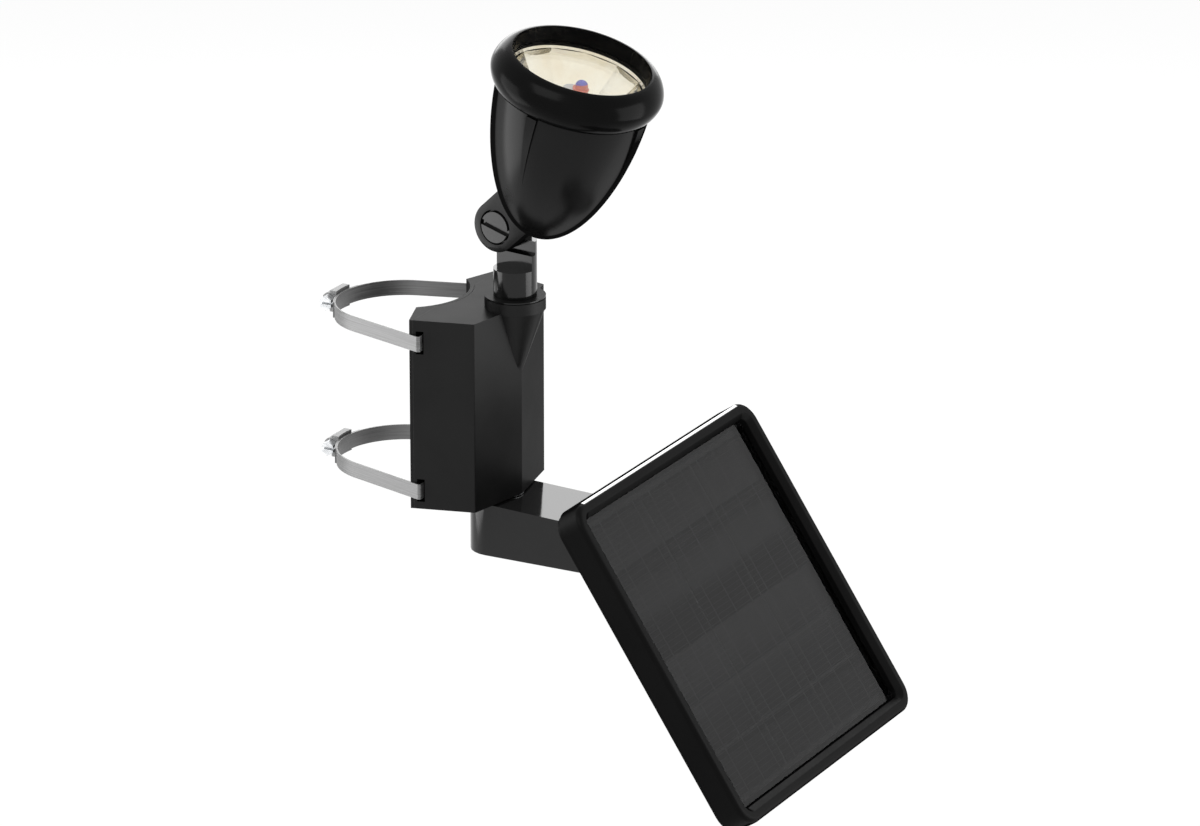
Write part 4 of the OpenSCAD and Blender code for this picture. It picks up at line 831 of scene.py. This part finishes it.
# %% Turn the bezel
opening_r, bezel_wide, bezel_lip, bezel_foot = 39.5, 9.34, 12.24, 56.95
oval_power, oval_steps, seat_gap, lens_top, lens_lip = 1.17, 60, 0.2, 3.0, 0.6
ring_profile = []
for i in range(oval_steps + 1):
    a = math.radians(90 - (90 + bezel_foot) * i / oval_steps)
    side = -1 if a < 0 else 1
    ring_profile.append((opening_r + bezel_wide * math.cos(a) ** oval_power,
                         side * bezel_lip * abs(math.sin(a)) ** oval_power))
foot_z = ring_profile[-1][1]
ring_profile += [(bell_r + seat_gap, foot_z), (bell_r + seat_gap, bell_top + seat_gap),
                 (neck_r + seat_gap, bell_top + seat_gap), (neck_r + seat_gap, lens_top),
                 (opening_r - lens_lip, lens_top), (opening_r - lens_lip, lens_top + lens_lip)]
bezel_mesh = lathe("bezel", ring_profile, 144, head_frame, closed=True, angle=40.0)
place_piece("bezel", bezel_mesh, bezel_black, "lamp_head",
                    ["bezel_ring"])
print("bezel faces:", len(bezel_mesh.polygons))

# %% [markdown]
# ## The reflector
#
# The dish is pressed into flat facets that each throw their own patch of light, under a round
# rim. The lathe turns them as flat sides, and flat shading keeps their edges.

# %% Press the reflector
gasket_low, dish_depth, dish_r, dish_hole_r, lens_r = -1.0, 26.0, 39.1, 9.0, 42.25
dish_wall, dish_power, dish_rows, dish_sides, rim_drop = 1.2, 0.62, 5, 12, 0.5
dish = [(dish_hole_r + (dish_r - dish_hole_r) * (i / dish_rows) ** dish_power,
         gasket_low - dish_depth * (1 - i / dish_rows)) for i in range(dish_rows + 1)]
back = [(r + dish_wall * (1 - i / dish_rows), h - dish_wall)
        for i, (r, h) in enumerate(dish[:dish_rows])]
dish_profile = dish + [(lens_r, gasket_low), (lens_r, neck_top), (dish_r - dish_wall, neck_top)]
dish_profile += list(reversed(back))
dish_mesh = lathe("reflector_dish", dish_profile, 60, head_frame, closed=True,
                  sides=dish_sides, below=gasket_low - rim_drop)
for face in dish_mesh.polygons:
    face.use_smooth = False
place_piece("reflector_dish", dish_mesh, cream_bright, "lamp_head", ["reflector"])
print("reflector facets:", len(dish_mesh.polygons))

# %% Turn the emitter
led_base, flange_r, flange_h, flange_soft = -7.4, 4.6, 1.2, 0.2
dome_r, dome_foot, dome_h = 3.6, 2.4, 3.4
emitter_aside = Vector((3.1, -1.8, 0))
emitter_profile = [(0.0, led_base), (flange_r, led_base),
                   (flange_r, led_base + flange_h - flange_soft),
                   (flange_r - 0.3, led_base + flange_h), (dome_r, led_base + flange_h),
                   (dome_r, led_base + dome_foot)]
emitter_profile += [(dome_r * math.cos(math.radians(a)), led_base + dome_foot + dome_h
                     * math.sin(math.radians(a))) for a in range(10, 90, 10)]
emitter_profile.append((0.0, led_base + dome_foot + dome_h))
emitter_frame = head_frame @ Matrix.Translation(emitter_aside * MM)
emitter_mesh = lathe("emitter", emitter_profile, 40, emitter_frame, closed=False)
place_piece("emitter", emitter_mesh, emitter_amber_and_sheen, "lamp_head", ["led_emitter"])
print("emitter faces:", len(emitter_mesh.polygons))

# %% [markdown]
# ## The panel's frame
#
# The frame is one moulding with a rounded outer edge, a narrow flat face, a slope inwards and
# a deep step down to the glass. A section carried round a rounded rectangle gives the same
# soft edge on the sides and at the corners, where a bevelled box would pinch. Its top edge is
# glossier than the rest, and it draws one bright line.

# %% Panel frame of reference
hinge_u, hinge_z, hinge_up, hinge_back = 163.0, -71.05, 54.9, 31.9
hinge_frame = (Matrix.Translation((0, -hinge_u * MM, hinge_z * MM))
               @ Matrix.Rotation(math.radians(panel_tilt), 4, "X"))
panel_frame_at = hinge_frame @ Matrix.Translation((0, -hinge_up * MM, hinge_back * MM))
window_w, window_l, border_w, corner_r = 193.0, 181.0, 9.3, 13.0
print("panel centre:", [round(v, 4) for v in panel_frame_at.translation])


# %% Section carried round a rounded rectangle
def moulding(name, section, width, length, radius, matrix, per_corner=10):
    """section is a closed list of (inset, height) in millimetres."""
    shape = bmesh.new()
    rings = []
    for inset, height in section:
        r = max(radius - inset, 1.5)
        half_w, half_l = width / 2 - inset, length / 2 - inset
        ring = []
        for sx, sy, start in ((1, 1, 0), (-1, 1, 90), (-1, -1, 180), (1, -1, 270)):
            for i in range(per_corner + 1):
                a = math.radians(start + 90 * i / per_corner)
                ring.append(shape.verts.new(matrix @ Vector((
                    (sx * (half_w - r) + r * math.cos(a)) * MM,
                    (sy * (half_l - r) + r * math.sin(a)) * MM, height * MM))))
        rings.append(ring)
    for a, b in zip(rings, rings[1:] + rings[:1]):
        for i in range(len(a)):
            j = (i + 1) % len(a)
            shape.faces.new((a[i], a[j], b[j], b[i]))
    bmesh.ops.recalc_face_normals(shape, faces=shape.faces)
    mesh = bpy.data.meshes.new(name)
    shape.to_mesh(mesh)
    shape.free()
    finish_mesh(mesh, 40.0)
    return mesh


# %% Mould the panel's frame
panel_t, back_t, glass_drop, glass_t = 17.3, 2.4, 6.4, 3.2
slope_w, slope_d = 3.2, 3.0
flat_to = border_w - slope_w
glass_gap, seat_w, seat_t, rim_w, foot_soft = 0.8, 3.0, 1.6, 4.0, 0.4
seat_low = -(glass_drop + glass_t + glass_gap)
seat_to, rim_low = border_w + seat_w, -panel_t + back_t
round_r, edge_in, edge_drop = 3.0, 0.4, 0.12
section = [(round_r * (1 - math.cos(math.radians(a))), -round_r
            + round_r * math.sin(math.radians(a))) for a in range(0, 91, 15)]
section += [(flat_to - edge_in, 0.0), (flat_to, -edge_drop), (border_w - 0.3, -slope_d + 0.28),
            (border_w, -slope_d - 0.2), (border_w, seat_low), (seat_to, seat_low),
            (seat_to, seat_low - seat_t), (rim_w, seat_low - seat_t), (rim_w, rim_low),
            (foot_soft, rim_low), (0.0, rim_low + foot_soft)]
frame_mesh = moulding("panel_moulding", section, window_w + 2 * border_w,
                      window_l + 2 * border_w, corner_r, panel_frame_at)
panel_moulding = place_piece("panel_moulding", frame_mesh, panel_black, "solar_panel",
                             ["panel_frame"])
frame_mesh.materials.append(top_edge_black)
to_panel = panel_frame_at.to_3x3().transposed()
to_panel_place = panel_frame_at.inverted()
steep_from, steep_to = 0.55, 0.95
bright_faces = []
for face in frame_mesh.polygons:
    facing, middle = to_panel @ face.normal, to_panel_place @ face.center
    if (steep_from < facing.y < steep_to and facing.z > 0
            and middle.y > (window_l / 2 + flat_to) * MM
            and abs(middle.x) < (window_w / 2 + border_w - corner_r) * MM):
        face.material_index = 1
        bright_faces.append(face.index)
weighted = panel_moulding.modifiers.new("flat_faces", "WEIGHTED_NORMAL")
weighted.keep_sharp = True
print("panel frame faces:", len(frame_mesh.polygons), "on the top edge:", len(bright_faces))
